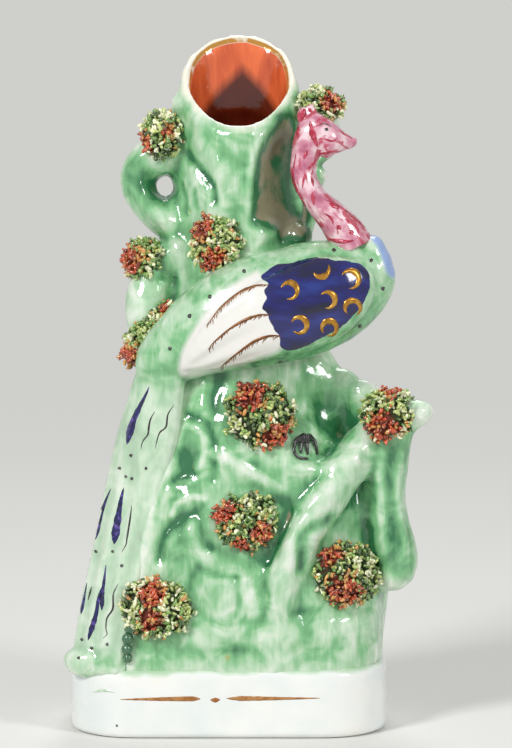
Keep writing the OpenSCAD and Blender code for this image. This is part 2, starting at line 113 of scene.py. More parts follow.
# Pads of clay, by middle and half sizes in millimetres: on the tree the ear's rim, a leaf beside the neck,
# the wall of the bowl behind the right tuft, the fill beside the right limb and a fillet under the train,
# on the bird the breast and the rounded end of the train, then the crest's two leaves
TREE_PADS = (
    ((-27.4, 3.6, 167.5), (4.8, 3.3, 8.0)), ((-19.6, 3.6, 175.4), (5.0, 3.2, 4.4)),
    ((20.6, -0.4, 160.0), (2.6, 1.4, 4.6)), ((35.5, -3.6, 102.9), (6.0, 4.6, 8.0)),
    ((41.5, -5.6, 99.2), (6.0, 4.2, 8.3)), ((43.2, -12.0, 68.5), (3.8, 3.4, 9.5)),
    ((43.4, -11.4, 58.0), (3.4, 3.0, 6.0)), ((-29.4, -25.4, 23.4), (3.2, 2.2, 4.4)),
)
BIRD_PADS = (
    ((43.6, -14.0, 146.8), (4.6, 6.0, 6.2)), ((45.4, -14.2, 142.0), (4.8, 7.0, 8.0)),
    ((-40.2, -19.8, 23.4), (10.4, 6.6, 4.4)),
)
CREST_PADS = (((22.4, -12.1, 188.6), (1.7, 1.4, 3.0)), ((25.1, -12.0, 190.2), (1.9, 1.4, 2.4)))
# Eye between the ear and the trunk: front-view middle, reach and how far the clay is pushed open
EAR_HOLE = ((-18.4, 164.2), 4.8, 1.6)
# Edges of the limb behind the neck by height, in front-view millimetres: the pair as the node has it,
# then the pair as the potter's fingers leave it
LIMB_EDGES = (
    (160.0, 21.0, 27.6, 21.0, 27.6), (166.0, 23.0, 28.6, 23.0, 28.4), (169.0, 24.2, 29.4, 24.2, 30.0),
    (172.2, 25.4, 30.4, 23.2, 27.4), (175.0, 26.4, 31.8, 26.0, 31.2), (177.0, 27.0, 32.2, 27.0, 32.6),
    (180.0, 27.4, 33.0, 27.4, 33.0),
)
# Inner edge of the ear, which sags: front-view middle, reach and drop
EAR_SAG = ((-19.6, 168.4), 6.0, 2.8)
# How far copies are swollen so that luted pieces meet, in millimetres
SLIP = 0.2
# Edges of the nets for the lesser pieces, and the swells of the plinth's side, in millimetres
PLINTH_GRAIN = 0.9
NECK_GRAIN = 0.42
CLAW_GRAIN = 0.2
PLINTH_SWELL = 0.35
# Foot of the tree and the train: height that is rounded off, and how far that is pushed into the plinth
FOOT_ROUND = 2.5
FOOT_SUNK = 1.8
# Deepest hollow that still gathers glaze, in millimetres, and the share by which a ridge sheds it
DEEPEST_HOLLOW = 0.85
RIDGE_SHARE = 0.6
# Depth of the breast patch: its middle in y and its half width, in millimetres
BREAST_DEPTH = (-14.0, 8.0)

# Bands over which an effect rises from nought to full, in millimetres.
# On the tree by u: pinching of the limb behind the neck
LIMB_SIDE = (21.5, 24.5)
# By the drop below the lip: wiping of the lip, and marks and swells under it
LIP_WIPED = (5.0, 2.0)
LIP_CLEAR = (2.5, 10.5)
# By nearness to the well's wall: rounding of the lip, by how much, and swells of the bark
LIP_OUTSIDE = (1.5, -2.0)
LIP_ROUND = 1.1
BARK_SIDE = (-0.5, -2.5)
# By the gap to a tuft: tool marks
TUFT_CLEAR = (0.4, 4.0)
# On the bird by height: painted shade under the body, where it faces down, by how much, and the whiter train
# between its ends
BODY_UNDER = (100.0, 106.0)
UNDER_SHADE = 0.48
TRAIN_TOP = (112.0, 100.0)
TRAIN_FOOT = (23.0, 28.0)
TRAIN_WHITE = 0.38
# On the head by u and v: shortening of the beak, by how much, and pinching of the head
BEAK = (33.0, 40.0)
BEAK_CUT = 1.0
HEAD_FOOT = (171.0, 175.0)

# Lamps: name, place and side of the soft box in metres, and watts, and the point they are turned to
LAMPS = (
    ("key_softbox", (-0.8, -1.0, 0.95), 0.34, 14.5),
    ("fill_softbox", (0.95, -0.9, 0.8), 0.34, 7.5),
    ("top_softbox", (0.1, 0.7, 1.2), 0.6, 5.0),
)
LAMP_AIM = Vector((0.0, 0.0, 0.1))
# Width of the camera's film, in millimetres
FILM_WIDTH = 36.0

# Thumb and tool marks on the tree: name, front-view path, radius, depth (below nought the clay is raised)
# and how much darker the glaze is painted there: pooled glaze, and painted shade in recesses, under the
# breast and on the trunk's shaded side; below nought it is paler
TOOL_MARKS = (
    # Painted shade: the trunk's shaded side, and the stub and limb beside the neck
    ("trunk shade side", ((17.4, 185.0), (13.6, 177.0), (12.0, 168.0), (11.4, 157.0)), 4.4, 2.2, 1.7),
    ("trunk shade far side", ((19.6, 181.0), (17.4, 170.0), (16.4, 158.0)), 4.2, 0.4, 1.4),
    ("trunk corner", ((14.0, 185.0), (9.6, 179.0), (7.4, 170.5), (6.4, 162.0), (6.2, 157.0)),
     1.6, -0.9, -0.1),
    ("trunk main crease", ((-12.6, 175.5), (-8.6, 169.8), (-5.2, 165.6), (-4.6, 160.6)), 1.4, 1.4, 0.3),
    ("trunk fold", ((-9.0, 180.5), (-4.6, 173.0), (1.0, 167.6), (4.0, 163.0)), 2.6, -0.6, 0.0),
    ("under the lip", ((-7.0, 183.0), (-1.0, 180.4), (6.0, 181.4)), 2.4, 0.5, 0.2),
    ("trunk green dab", ((-1.4, 175.6), (3.6, 174.4)), 2.4, 0.3, 0.25),
    ("edge crease", ((-14.6, 166.5), (-13.6, 161.5), (-13.3, 156.5)), 0.9, 0.6, 0.2),
    ("edge crease two", ((-10.9, 164.0), (-10.2, 159.0)), 1.0, 0.6, 0.2),
    ("ledge lobe", ((9.4, 151.0), (13.4, 152.4)), 3.0, -1.3, 0.1),
    ("stub shade", ((16.8, 153.0), (22.4, 150.0)), 4.6, 0.4, 1.4),
    ("limb behind the neck", ((22.6, 153.4), (24.6, 161.3), (27.1, 169.2), (29.6, 176.0), (30.1, 182.0)),
     2.8, 0.0, 0.6),
    ("limb shade", ((22.4, 152.6), (23.6, 157.4), (25.0, 162.0)), 3.4, 0.0, 0.9),
    ("limb knob", ((27.8, 169.4), (28.4, 168.6)), 1.6, -0.6, 0.3),
    ("leaf beside the neck", ((20.4, 163.0), (20.8, 157.0)), 2.4, 0.0, 0.3),
    ("ear face", ((-23.8, 168.4), (-22.8, 165.0)), 3.8, 1.6, 0.4),
    ("ear wash", ((-28.6, 171.0), (-29.4, 166.5), (-26.6, 161.6)), 5.4, 0.0, 0.72),
    ("recess under loop", ((-21.5, 144.5), (-22.0, 138.0)), 2.6, 2.4, 0.6),
    ("bowl under breast", ((31.5, 96.5), (36.5, 92.5)), 7.0, 4.0, 0.4),
    ("bowl floor", ((29.5, 92.0), (33.5, 90.2), (37.5, 88.4)), 3.4, 0.8, 0.3),
    ("bowl front", ((31.5, 83.8), (25.5, 81.6), (20.0, 80.4)), 1.6, 0.6, 0.15),
    ("ridge by the tuft", ((22.6, 97.4), (27.0, 94.6), (27.0, 90.4)), 1.8, -0.7, -0.1),
    ("behind centre tuft", ((-3.0, 106.5), (-3.5, 97.0), (0.0, 90.0)), 3.0, 1.4, 0.6),
    ("upper swell", ((-9.5, 96.0), (-11.0, 87.0)), 3.6, -0.7, 0.0),
    ("upper pit", ((-16.6, 83.4), (-14.6, 80.6)), 2.6, 0.6, 0.2),
    ("upright crease", ((-12.1, 94.7), (-7.6, 92.6), (-5.0, 88.6), (-4.4, 83.2), (-4.8, 75.0)),
     1.4, 0.8, 0.25),
    ("upright ridge", ((-12.7, 91.4), (-8.8, 90.0), (-7.2, 86.6), (-8.3, 80.1), (-9.9, 77.6)),
     1.1, -0.5, -0.3),
    ("leaning ridge", ((-4.9, 83.0), (2.5, 79.9), (10.6, 74.5), (15.4, 71.6)), 1.7, -0.7, -0.25),
    ("pit by claw", ((4.0, 80.4), (8.0, 79.6)), 2.4, 0.6, 0.3),
    ("scroll crease", ((-22.3, 62.6), (-22.0, 67.6), (-20.2, 71.9), (-17.1, 74.7), (-13.3, 76.3),
                       (-10.2, 77.2)), 1.3, 0.7, 0.25),
    ("scroll ridge", ((-17.6, 63.8), (-15.4, 67.5), (-11.0, 69.2), (-7.6, 68.6)), 1.0, -0.6, -0.35),
    ("scroll lobe", ((-17.0, 70.6), (-13.6, 70.4)), 3.8, -0.7, 0.1),
    ("scroll low crease", ((-21.7, 50.2), (-21.4, 53.9), (-19.8, 57.7), (-17.1, 60.8), (-13.3, 63.2),
                           (-9.6, 64.6)), 1.7, 1.2, 0.1),
    ("left lobe", ((-16.0, 55.0), (-11.8, 57.0)), 3.8, -0.8, 0.05),
    ("hollow", ((-4.0, 64.0), (4.0, 70.0), (14.0, 67.0), (15.4, 58.0), (7.0, 51.6), (-4.0, 55.5)),
     3.6, 1.7, 0.15),
    ("hollow left", ((-7.6, 66.0), (-8.6, 60.0), (-6.4, 54.0)), 2.0, 0.8, 0.35),
    ("hollow right", ((14.4, 68.6), (16.8, 65.0), (16.0, 60.4)), 2.6, 1.0, 0.35),
    ("hollow foot", ((8.0, 51.4), (12.6, 55.2)), 2.4, 0.3, 0.25),
    ("rim crease", ((-8.0, 46.6), (-3.0, 44.8), (2.0, 44.8)), 1.1, 0.5, 0.25),
    ("slanting crease", ((-9.6, 47.7), (-12.1, 41.5), (-12.7, 37.0)), 1.2, 0.6, 0.3),
    ("lobe one", ((-4.4, 40.2), (-3.8, 36.2)), 4.2, -0.7, 0.05),
    ("lobe one rim", ((-8.4, 40.0), (-7.6, 35.0), (-3.6, 32.6), (0.6, 34.6)), 1.0, 0.0, -0.2),
    ("lobe two", ((7.0, 38.4), (7.2, 33.6)), 2.6, -0.45, -0.25),
    ("lobe crease", ((2.6, 44.0), (3.2, 37.8), (2.2, 32.4)), 1.0, 0.5, 0.25),
    ("lobe crease two", ((11.0, 42.5), (12.4, 38.0), (11.0, 33.0)), 1.1, 0.3, 0.25),
    ("crease by root", ((18.6, 64.0), (15.4, 55.4), (12.2, 49.4)), 1.5, 1.0, 0.4),
    ("crease of root and limb", ((43.6, 60.0), (43.8, 54.4), (46.6, 49.0)), 2.8, 0.6, 0.45),
    ("crease above it", ((45.4, 72.0), (43.6, 65.0)), 2.0, 0.4, 0.3),
    ("right limb flute", ((50.0, 82.0), (49.6, 68.0), (50.6, 56.0)), 1.5, 0.5, 0.12),
    ("right limb ridge", ((53.2, 82.0), (53.0, 66.0), (55.0, 53.0)), 1.6, -0.5, -0.2),
    ("right limb inner ridge", ((47.0, 84.0), (46.8, 72.0), (47.4, 62.0)), 1.4, -0.4, -0.2),
    ("right limb wash", ((51.5, 84.0), (51.0, 62.0), (54.0, 48.0)), 5.6, 0.0, 0.55),
    ("behind low right tuft", ((22.5, 47.0), (23.5, 57.5), (31.0, 62.0)), 2.2, 1.2, 0.45),
    ("left wash", ((-11.0, 94.0), (-13.0, 80.0), (-15.0, 64.0), (-16.0, 52.0)), 5.0, 0.0, 0.5),
    ("pale band by the train", ((-14.0, 101.0), (-19.0, 84.0), (-23.2, 66.0), (-27.6, 48.0), (-30.6, 32.0)),
     5.0, 0.0, -0.36),
    ("skirt", ((-14.0, 26.0), (10.0, 26.4), (30.0, 27.4), (44.0, 29.6)), 3.4, -0.6, -0.05),
    ("skirt crease", ((20.0, 33.5), (30.0, 34.6), (40.0, 36.4)), 1.4, 0.5, 0.2),
    ("skirt pool", ((-2.0, 22.8), (4.0, 22.4)), 2.0, 0.2, 0.3),
    ("skirt pool two", ((-20.0, 24.6), (-13.0, 23.4)), 2.0, 0.2, 0.25),
)

# Fields of paint on the bird, as front-view outlines
BLUE_FIELD = (
    (9.9, 137.9), (11.5, 139.2), (15.2, 141.4), (20.2, 142.1), (25.1, 143.3), (28.8, 143.5), (33.2, 142.6),
    (37.5, 142.3), (41.2, 141.1), (43.4, 138.3), (43.7, 135.2), (42.8, 131.4), (40.6, 127.7), (37.5, 124.3),
    (33.8, 121.2), (29.5, 119.0), (25.1, 116.6), (20.2, 114.7), (16.1, 115.6), (15.7, 117.8), (15.5, 119.4),
    (14.0, 121.2), (13.0, 123.4), (12.1, 125.6), (10.9, 127.1), (10.4, 128.0), (11.5, 130.8), (10.9, 133.3),
    (12.2, 135.5), (10.4, 136.5),
)
WHITE_PANEL = (
    (9.0, 140.1), (2.2, 136.4), (-4.7, 130.8), (-10.2, 123.4), (-14.0, 116.6), (-15.8, 111.0), (-15.2, 107.0),
    (-10.9, 106.2), (-2.8, 108.2), (2.8, 109.7), (8.4, 111.6), (15.5, 114.1), (18.4, 119.7), (15.7, 130.8),
)
BREAST_PATCH = (
    (44.0, 153.4), (47.9, 150.0), (51.4, 145.4), (52.4, 138.0), (49.2, 138.4), (46.8, 145.4), (43.4, 150.4),
)

# Brush strokes: front-view path and greatest width. Hair lines have a path alone, and strokes on the plinth
# also say where along them they are widest.
QUILLS = (
    (((12.4, 135.0), (9.0, 134.9), (4.6, 133.4), (0.3, 130.5), (-2.8, 127.7), (-5.0, 124.9),
      (-7.1, 122.1)), 0.9),
    (((13.0, 125.7), (9.6, 125.7), (5.3, 124.3), (0.9, 121.8), (-2.2, 119.4), (-4.7, 117.2),
      (-6.5, 115.0)), 1.0),
    (((16.4, 119.2), (12.7, 119.2), (8.4, 117.8), (4.6, 115.3), (0.9, 112.5), (-2.8, 109.4)), 1.0),
)
# Crescents: middle, radius, angle where the arc starts and how far it turns, in degrees
CRESCENTS = (
    (18.6, 133.2, 2.6, 160.0, -265.0), (28.5, 140.1, 2.6, 209.0, 180.0), (37.5, 136.7, 2.8, 152.0, -248.0),
    (30.4, 130.3, 2.5, 138.0, -240.0), (38.4, 127.8, 2.4, 226.0, -291.0), (21.7, 122.5, 2.5, 159.0, -296.0),
    (31.1, 121.5, 2.3, 221.0, -330.0),
)
BODY_SPOTS = (
    (4.7, 139.3), (-5.9, 131.4), (-12.2, 125.4), (-18.3, 115.3), (32.6, 145.8), (44.0, 142.6),
    (47.7, 133.9), (40.6, 122.3), (31.0, 114.6), (15.9, 110.9), (3.1, 107.6),
)
TAIL_SPOTS = (
    (-25.7, 78.1), (-30.4, 82.2), (-31.9, 75.6), (-33.2, 48.0), (-42.5, 22.4), (-45.6, 25.0),
    (-36.0, 52.4), (-41.2, 52.4), (-37.8, 23.6), (-33.9, 78.2), (-30.1, 75.0), (-46.6, 19.4),
)
TAIL_DASHES = (
    (((-24.7, 103.5), (-25.7, 101.1), (-27.9, 96.7), (-29.8, 92.4), (-31.6, 85.6)), 2.5),
    (((-32.6, 72.2), (-33.5, 68.2), (-34.4, 62.6), (-35.0, 58.9), (-35.6, 54.6)), 2.9),
    (((-36.6, 71.9), (-38.4, 67.6), (-40.0, 62.6), (-41.4, 56.1)), 1.7),
    (((-38.1, 48.4), (-38.6, 44.0), (-39.2, 39.1), (-39.4, 34.1)), 1.5),
    (((-38.4, 43.4), (-40.3, 38.4), (-41.2, 32.9), (-43.7, 24.8)), 1.8),
    (((-44.0, 42.8), (-45.0, 37.2), (-45.9, 32.9)), 1.0),
)
TAIL_HAIRS = (
    ((-22.9, 95.8), (-24.2, 93.6), (-24.8, 91.1), (-25.1, 88.7), (-26.7, 86.5), (-27.3, 84.0)),
    ((-17.1, 97.7), (-18.9, 94.9), (-19.5, 91.1), (-21.4, 89.3), (-22.3, 86.8), (-22.8, 84.3)),
    ((-30.1, 66.7), (-30.7, 62.0), (-31.6, 56.4), (-31.9, 54.6), (-33.2, 52.1)),
    ((-34.3, 42.5), (-35.8, 39.1), (-36.0, 34.7), (-37.8, 31.6), (-38.1, 28.5), (-37.8, 26.7), (-39.1, 25.4)),
    ((-42.5, 41.5), (-43.1, 39.4), (-43.7, 37.2)),
)
NECK_STROKES = (
    (((20.9, 176.4), (19.9, 169.2), (21.0, 164.6), (23.3, 160.0), (26.4, 154.8), (29.4, 150.2),
      (31.0, 148.8)), 0.9),
    (((30.6, 149.4), (32.9, 148.8), (36.0, 148.4), (38.8, 148.8)), 1.6),
    (((29.6, 161.6), (33.5, 159.8), (38.0, 156.4), (41.8, 153.4), (43.7, 151.0)), 1.0),
    (((31.0, 160.4), (34.4, 158.8)), 1.9), (((25.9, 163.9), (26.4, 159.6)), 1.5),
    (((33.4, 153.6), (34.8, 152.2)), 1.7), (((37.4, 152.0), (38.6, 150.6)), 1.7),
    (((43.0, 153.0), (43.3, 151.2), (42.8, 149.6)), 1.0),
    (((25.2, 185.8), (25.6, 183.2), (26.4, 180.6), (27.6, 177.6)), 2.3),
    (((22.0, 187.7), (22.6, 189.4), (23.2, 188.0), (22.6, 185.8)), 1.9),
    (((24.6, 190.0), (25.8, 188.2)), 1.2),
    (((21.6, 184.6), (21.2, 180.6)), 1.2), (((23.2, 174.0), (24.4, 177.0)), 1.3),
    (((27.4, 175.8), (30.4, 175.9), (33.8, 177.0)), 0.9),
    (((24.2, 171.0), (26.0, 172.4), (27.0, 173.8)), 1.0),
    (((34.0, 183.0), (36.4, 181.6), (38.2, 180.4)), 0.9), (((23.4, 169.4), (22.8, 165.0)), 0.8),
    (((27.2, 187.0), (29.4, 186.2), (31.4, 185.0)), 0.9),
    (((29.0, 180.6), (31.8, 179.6), (33.6, 180.4)), 0.7),
    (((29.4, 157.4), (31.8, 155.6), (32.4, 153.4)), 0.8), (((25.6, 168.6), (26.2, 165.4)), 0.9),
    (((36.0, 155.6), (38.4, 153.6)), 0.8), (((28.2, 154.6), (29.6, 152.8)), 0.9),
)
PLINTH_STROKES = (
    (((-33.8, 6.5), (-22.0, 6.6), (-12.0, 6.7), (-8.8, 6.7)), 1.7, 0.86),
    (((-5.8, 6.4), (-4.2, 6.3), (-2.7, 6.5)), 1.7, 0.5),
    (((-0.8, 6.8), (6.0, 6.8), (16.0, 6.8), (28.4, 6.9)), 1.6, 0.16),
)
# One green smear and one black spot on the plinth, and the bird's pupil and eyelid
PLINTH_SMEAR = (((-42.6, 8.6), (-39.0, 9.3), (-35.2, 8.7)), 1.0, 0.5)
PLINTH_SPOT = (-34.7, -1.6)
PUPIL = (30.2, 183.2)
EYELID = ((27.9, 184.4), (29.8, 185.0), (31.8, 184.0))
# Claw: each toe from the knuckle to its tip, as front-view points
CLAW_TOES = (
    ((22.6, 87.2), (20.8, 86.2), (19.9, 83.6), (21.2, 81.5), (24.2, 80.9)), ((22.4, 86.8), (22.2, 83.0)),
    ((23.6, 86.8), (24.2, 82.6)), ((24.2, 87.0), (26.2, 86.0), (27.2, 82.6)),
)
# Beads of the dark twisted stem under the foot tuft: front-view middle and radius
STEM_BEADS = (
    (-30.4, 31.6, 1.8), (-31.0, 28.6, 1.8), (-31.6, 25.4, 1.9), (-31.8, 22.2, 1.8), (-31.6, 19.4, 1.6),
)
# Where the tufts are dabbed with red: front-view middle and radius
RED_DABS = (
    (-28.8, 178.8, 4.8), (-19.0, 182.8, 2.2), (-31.4, 142.8, 5.4), (-31.5, 111.5, 5.2), (-18.0, 127.0, 3.6),
    (-9.0, 153.0, 4.8), (-5.0, 142.6, 4.2), (31.8, 191.5, 3.4), (6.3, 101.4, 5.8), (15.4, 87.0, 6.0),
    (49.9, 104.2, 4.4), (47.4, 90.4, 5.8), (-2.2, 64.8, 4.8), (10.0, 58.6, 3.8), (3.2, 53.6, 3.6),
    (30.4, 51.8, 4.8), (35.4, 40.2, 5.6), (-23.6, 39.6, 4.6), (-24.4, 31.0, 4.0),
)
# Line of the neck and head, along which the pink is brushed
NECK_LINE = (
    (37.0, 148.0), (33.5, 154.0), (28.0, 161.5), (24.0, 168.5), (22.6, 175.0), (24.0, 181.0), (28.0, 185.0),
    (34.0, 183.5), (39.0, 180.5),
)
# Edges of the neck by height, and of the head from its back to the beak, in front-view millimetres:
# the pair as the node has it, then the pair as the potter's fingers leave it
NECK_EDGES = (
    (146.0, 32.6, 45.0, 32.6, 45.0), (150.5, 29.8, 43.3, 29.3, 44.2), (153.8, 27.3, 41.2, 26.7, 41.8),
    (157.0, 25.0, 38.7, 24.2, 38.6), (160.6, 22.9, 35.2, 22.2, 33.8), (164.0, 21.2, 32.1, 20.6, 29.2),
    (168.0, 19.5, 29.0, 19.4, 27.2), (172.0, 19.1, 27.0, 19.3, 27.2), (176.0, 18.9, 27.6, 19.6, 27.8),
    (181.0, 18.9, 30.0, 19.4, 30.0), (187.0, 19.0, 30.0, 19.0, 30.0),
)
HEAD_EDGES = (
    (26.0, 172.0, 188.9, 172.0, 188.9), (28.0, 176.4, 188.9, 173.4, 187.8),
    (30.0, 178.1, 188.6, 174.4, 186.6), (33.0, 178.1, 187.8, 176.0, 184.6),
    (36.0, 178.5, 186.2, 176.9, 182.8), (39.0, 179.0, 183.5, 177.8, 181.3),
    (40.6, 179.4, 181.0, 178.6, 180.4),
)
# Tufts with thinner, paler paint, and how much brighter those and the others are
PALE_TUFTS = ("tuft_left_foot", "tuft_trunk_front", "tuft_right", "tuft_behind_head", "tuft_top_left")
PALE_LIFT = 0.14
PLAIN_LIFT = -0.04
# Clay between the shreds: its colour under red and under green, dark as painted shade in the gaps, its gloss
# and how far it lies in, in millimetres, then the colour of the stem and how many shreds are made at a time
CORE_RED_SHADE = "#6E2A1A"
CORE_GREEN_SHADE = "#2F3F20"
CORE_GLOSS = 0.1
CORE_SUNK = 1.2
STEM_GREEN = "#3F6A4C"
BATCH = 30


def linear(text):
    """Linear colour of an sRGB hex value."""
    parts = [int(text[i:i + 2], 16) / 255.0 for i in (1, 3, 5)]
    return tuple(c / 12.92 if c <= 0.04045 else ((c + 0.055) / 1.055) ** 2.4 for c in parts)


def tint(name, description, value):
    """Colour property with a hex default."""
    return FloatVectorProperty(
        name=name, description=description, subtype="COLOR", size=3, min=0.0, max=1.0, default=linear(value)
    )


def length(name, description, value):
    """Length property with a default in millimetres."""
    return FloatProperty(name=name, description=description, unit="LENGTH", min=0.0, default=value * MM)


class VASE_PG_sizes(bpy.types.PropertyGroup):
    """Sizes that a user would change."""

    tree_grain: length("Tree grain", "Edge of the net that blends the tree's pieces", 0.9)
    bird_grain: length("Bird grain", "Edge of the net that blends the bird's pieces", 0.6)
    gnarl: length("Gnarl", "Depth of the bark's swells and creases", 0.5)
    shred: length("Shred", "Thickness of a tuft's clay shreds", 1.1)
    shreds: IntProperty(name="Shreds", description="Clay shreds on each tuft", min=50, max=700, default=460)
    paint: length("Paint", "How far a brush stroke stands off the glaze", 0.1)
    seed: IntProperty(name="Seed", description="Start of every scatter", min=0, default=7)


class VASE_PG_colours(bpy.types.PropertyGroup):
    """Colours that a user would change."""

    clay_white: tint("Clay white", "Bare white body under clear glaze", "#EDEFE6")
    green_pale: tint("Pale green", "Thin wash of green glaze", "#BEDABB")
    green_mid: tint("Mid green", "Green glaze at full strength", "#7DBA83")
    # Deep green is glaze pooled in the hollows, deepened by painted shade where the tool marks add it
    green_deep: tint("Deep green", "Green glaze pooled in a hollow", "#2C6E45")
    # Dark green is painted shade, olive, reached only where the tool marks paint the most shade
    green_shade: tint("Dark green", "Green glaze at its thickest", "#868468")
    lip_cream: tint("Lip cream", "Bare lip under clear glaze", "#F2EEDC")
    lining: tint("Lining", "Iron red inside the trunk", "#EA723F")
    lining_deep: tint("Deep lining", "Iron red where it pooled", "#BE4C28")
    # Dark lining is the painted shadow far down the well
    lining_dark: tint("Dark lining", "Iron red far down the well", "#420F07")
    gilt: tint("Gilt", "Worn gilding", "#C08A34")
    quill: tint("Quill", "Thin brown gilding of the quills", "#8C5A2C")
    blue: tint("Blue", "Cobalt enamel of the wing", "#070B60")
    blue_dark: tint("Dark blue", "Cobalt enamel where it is thick", "#03032C")
    breast: tint("Breast", "Pale blue at the root of the neck", "#93ADDC")
    pink: tint("Pink", "Wash on the neck", "#CE879B")
    crimson: tint("Crimson", "Brush marks on the neck", "#B3193C")
    black: tint("Black", "Spots, hair lines and claw", "#1D1B1D")
    # Dark leaf serves dark clumps, and painted shade on shreds deep in the heap
    leaf_dark: tint("Dark leaf", "Shreds in shade", "#4A6236")
    leaf: tint("Leaf", "Green shreds", "#7A9C52")
    leaf_pale: tint("Pale leaf", "Yellow green shreds", "#BBC87A")
    leaf_cream: tint("Cream leaf", "Shreds with thin paint", "#E9EAC4")
    leaf_red: tint("Red leaf", "Shreds dabbed with red", "#BE5030")
    leaf_amber: tint("Amber leaf", "Shreds where red and green run together", "#CF9450")
    leaf_brown: tint("Brown leaf", "Shreds where the red is thick", "#7C3320")
    biscuit: tint("Biscuit", "Unglazed foot", "#D9CDB8")
    floor: tint("Floor", "Studio floor", "#E8E7E3")
    air: tint("Air", "Pale studio behind the floor", "#CFCFCC")


def sizes():
    """The user's sizes."""
    return bpy.context.scene.vase_sizes


def colour(name):
    """One of the user's colours, or a hex value, with alpha."""
    part = linear(name) if name.startswith("#") else getattr(bpy.context.scene.vase_colours, name)
    return (*part, 1.0)


# Front view


def front_view(points):
    """Front-view u and v, in millimetres, of points in metres."""
    rel = np.asarray(points, float) / MM - np.array(EYE)
    depth = rel @ np.array(LOOK)
    u = VIEW_MIDDLE[0] + rel @ np.array(RIGHT) * VIEW_DISTANCE / depth
    v = VIEW_MIDDLE[1] + rel @ np.array(UP) * VIEW_DISTANCE / depth
    return np.stack([u, v], 1)


def onto(surface, spot):
    """Point and normal where the front view's spot lands on a surface, or None."""
    there = AIM + RIGHT * (spot[0] - VIEW_MIDDLE[0]) + UP * (spot[1] - VIEW_MIDDLE[1])
    point, normal, _, _ = surface.ray_cast(EYE * MM, (there - EYE).normalized())
    return None if point is None else (point, normal)


def flowing(path, step):
    """Points about a step apart on a smooth curve through a path."""
    path = [Vector(p) for p in path]
    ends = [path[0] * 2 - path[1], *path, path[-1] * 2 - path[-2]]
    out = []
    for a, b, c, d in zip(ends, ends[1:], ends[2:], ends[3:]):
        count = max(2, math.ceil((c - b).length / step))
        for i in range(count):
            t = i / count
            out.append(0.5 * (2 * b + (c - a) * t + (2 * a - 5 * b + 4 * c - d) * t * t
                              + (3 * b - a - 3 * c + d) * t ** 3))
    return [*out, path[-1]]


def inside(points, outline):
    """Signed distance in millimetres from an outline, above nought inside it."""
    a = np.array(outline, float)
    b = np.roll(a, -1, 0)
    rel = points[:, None, :] - a[None]
    edge = b - a
    t = np.clip((rel * edge).sum(2) / (edge * edge).sum(1), 0, 1)
    near = np.sqrt(((rel - t[..., None] * edge) ** 2).sum(2)).min(1)
    up = (a[None, :, 1] > points[:, None, 1]) != (b[None, :, 1] > points[:, None, 1])
    run = edge[:, 0] * (points[:, None, 1] - a[:, 1]) / np.where(edge[:, 1] == 0, 1e-9, edge[:, 1]) + a[:, 0]
    odd = (up & (points[:, None, 0] < run)).sum(1) % 2 == 1
    return np.where(odd, near, -near)


# Clay


def clay_of(names, swell):
    """One bmesh of copies of CAD nodes, merged, and swollen so that luted pieces meet."""
    clay = bmesh.new()
    for name in names:
        start = len(clay.verts)
        clay.from_mesh(frame["nodes"][name].data)
        clay.verts.ensure_lookup_table()
        bmesh.ops.remove_doubles(clay, verts=clay.verts[start:], dist=1e-6)
        clay.normal_update()
        clay.verts.ensure_lookup_table()
        for vert in clay.verts[start:]:
            vert.co += vert.normal * swell
    return clay


def join(clay, other):
    """Adds one bmesh to another and frees it."""
    mesh = bpy.data.meshes.new("joined")
    other.to_mesh(mesh)
    other.free()
    clay.from_mesh(mesh)
    bpy.data.meshes.remove(mesh)


def new_piece(name, clay):
    """Object made of a bmesh, which is freed."""
    mesh = bpy.data.meshes.new(name)
    clay.to_mesh(mesh)
    clay.free()
    mesh.shade_smooth()
    piece = bpy.data.objects.new(name, mesh)
    bpy.context.scene.collection.objects.link(piece)
    return piece


def blended(piece, grain, rounds):
    """Fuses a piece's shells in one net, softens it and drops closed bubbles inside."""
    net = piece.modifiers.new("net", "REMESH")
    net.mode = "VOXEL"
    net.voxel_size = grain
    soft = piece.modifiers.new("soft", "SMOOTH")
    soft.factor = 0.5
    soft.iterations = rounds
    bpy.context.view_layer.update()
    done = bpy.data.meshes.new_from_object(piece.evaluated_get(bpy.context.evaluated_depsgraph_get()))
    piece.modifiers.clear()
    old = piece.data
    piece.data = done
    bpy.data.meshes.remove(old)
    clay = bmesh.new()
    clay.from_mesh(done)
    top = max(clay.verts, key=lambda vert: vert.co.z)
    seen = {top}
    todo = [top]
    while todo:
        for edge in todo.pop().link_edges:
            for vert in edge.verts:
                if vert not in seen:
                    seen.add(vert)
                    todo.append(vert)
    bmesh.ops.delete(clay, geom=[vert for vert in clay.verts if vert not in seen], context="VERTS")
    clay.to_mesh(done)
    clay.free()
    done.shade_smooth()
    return piece


def places(mesh):
    """Arrays of a mesh's points and normals."""
    count = len(mesh.vertices)
    points = np.empty(count * 3)
    normals = np.empty(count * 3)
    mesh.vertices.foreach_get("co", points)
    mesh.vertices.foreach_get("normal", normals)
    return points.reshape(-1, 3), normals.reshape(-1, 3)


def put(mesh, points):
    """Moves a mesh's points."""
    mesh.vertices.foreach_set("co", np.ascontiguousarray(points, np.float32).ravel())
    mesh.update()


def relaxed(mesh, points, rounds):
    """Points averaged with their neighbours, round after round."""
    edges = np.empty(len(mesh.edges) * 2, np.int64)
    mesh.edges.foreach_get("vertices", edges)
    a, b = edges.reshape(-1, 2).T
    count = len(points)
    share = np.maximum(np.bincount(a, minlength=count) + np.bincount(b, minlength=count), 1)
    points = points.copy()
    for _ in range(rounds):
        total = [np.bincount(a, points[b, k], count) + np.bincount(b, points[a, k], count) for k in range(3)]
        points = 0.4 * points + 0.6 * np.stack(total, 1) / share[:, None]
    return points


def rising(values, start, end):
    """Nought at one value, rising to one at the other, and held beyond both."""
    return np.clip((values - start) / (end - start), 0, 1)


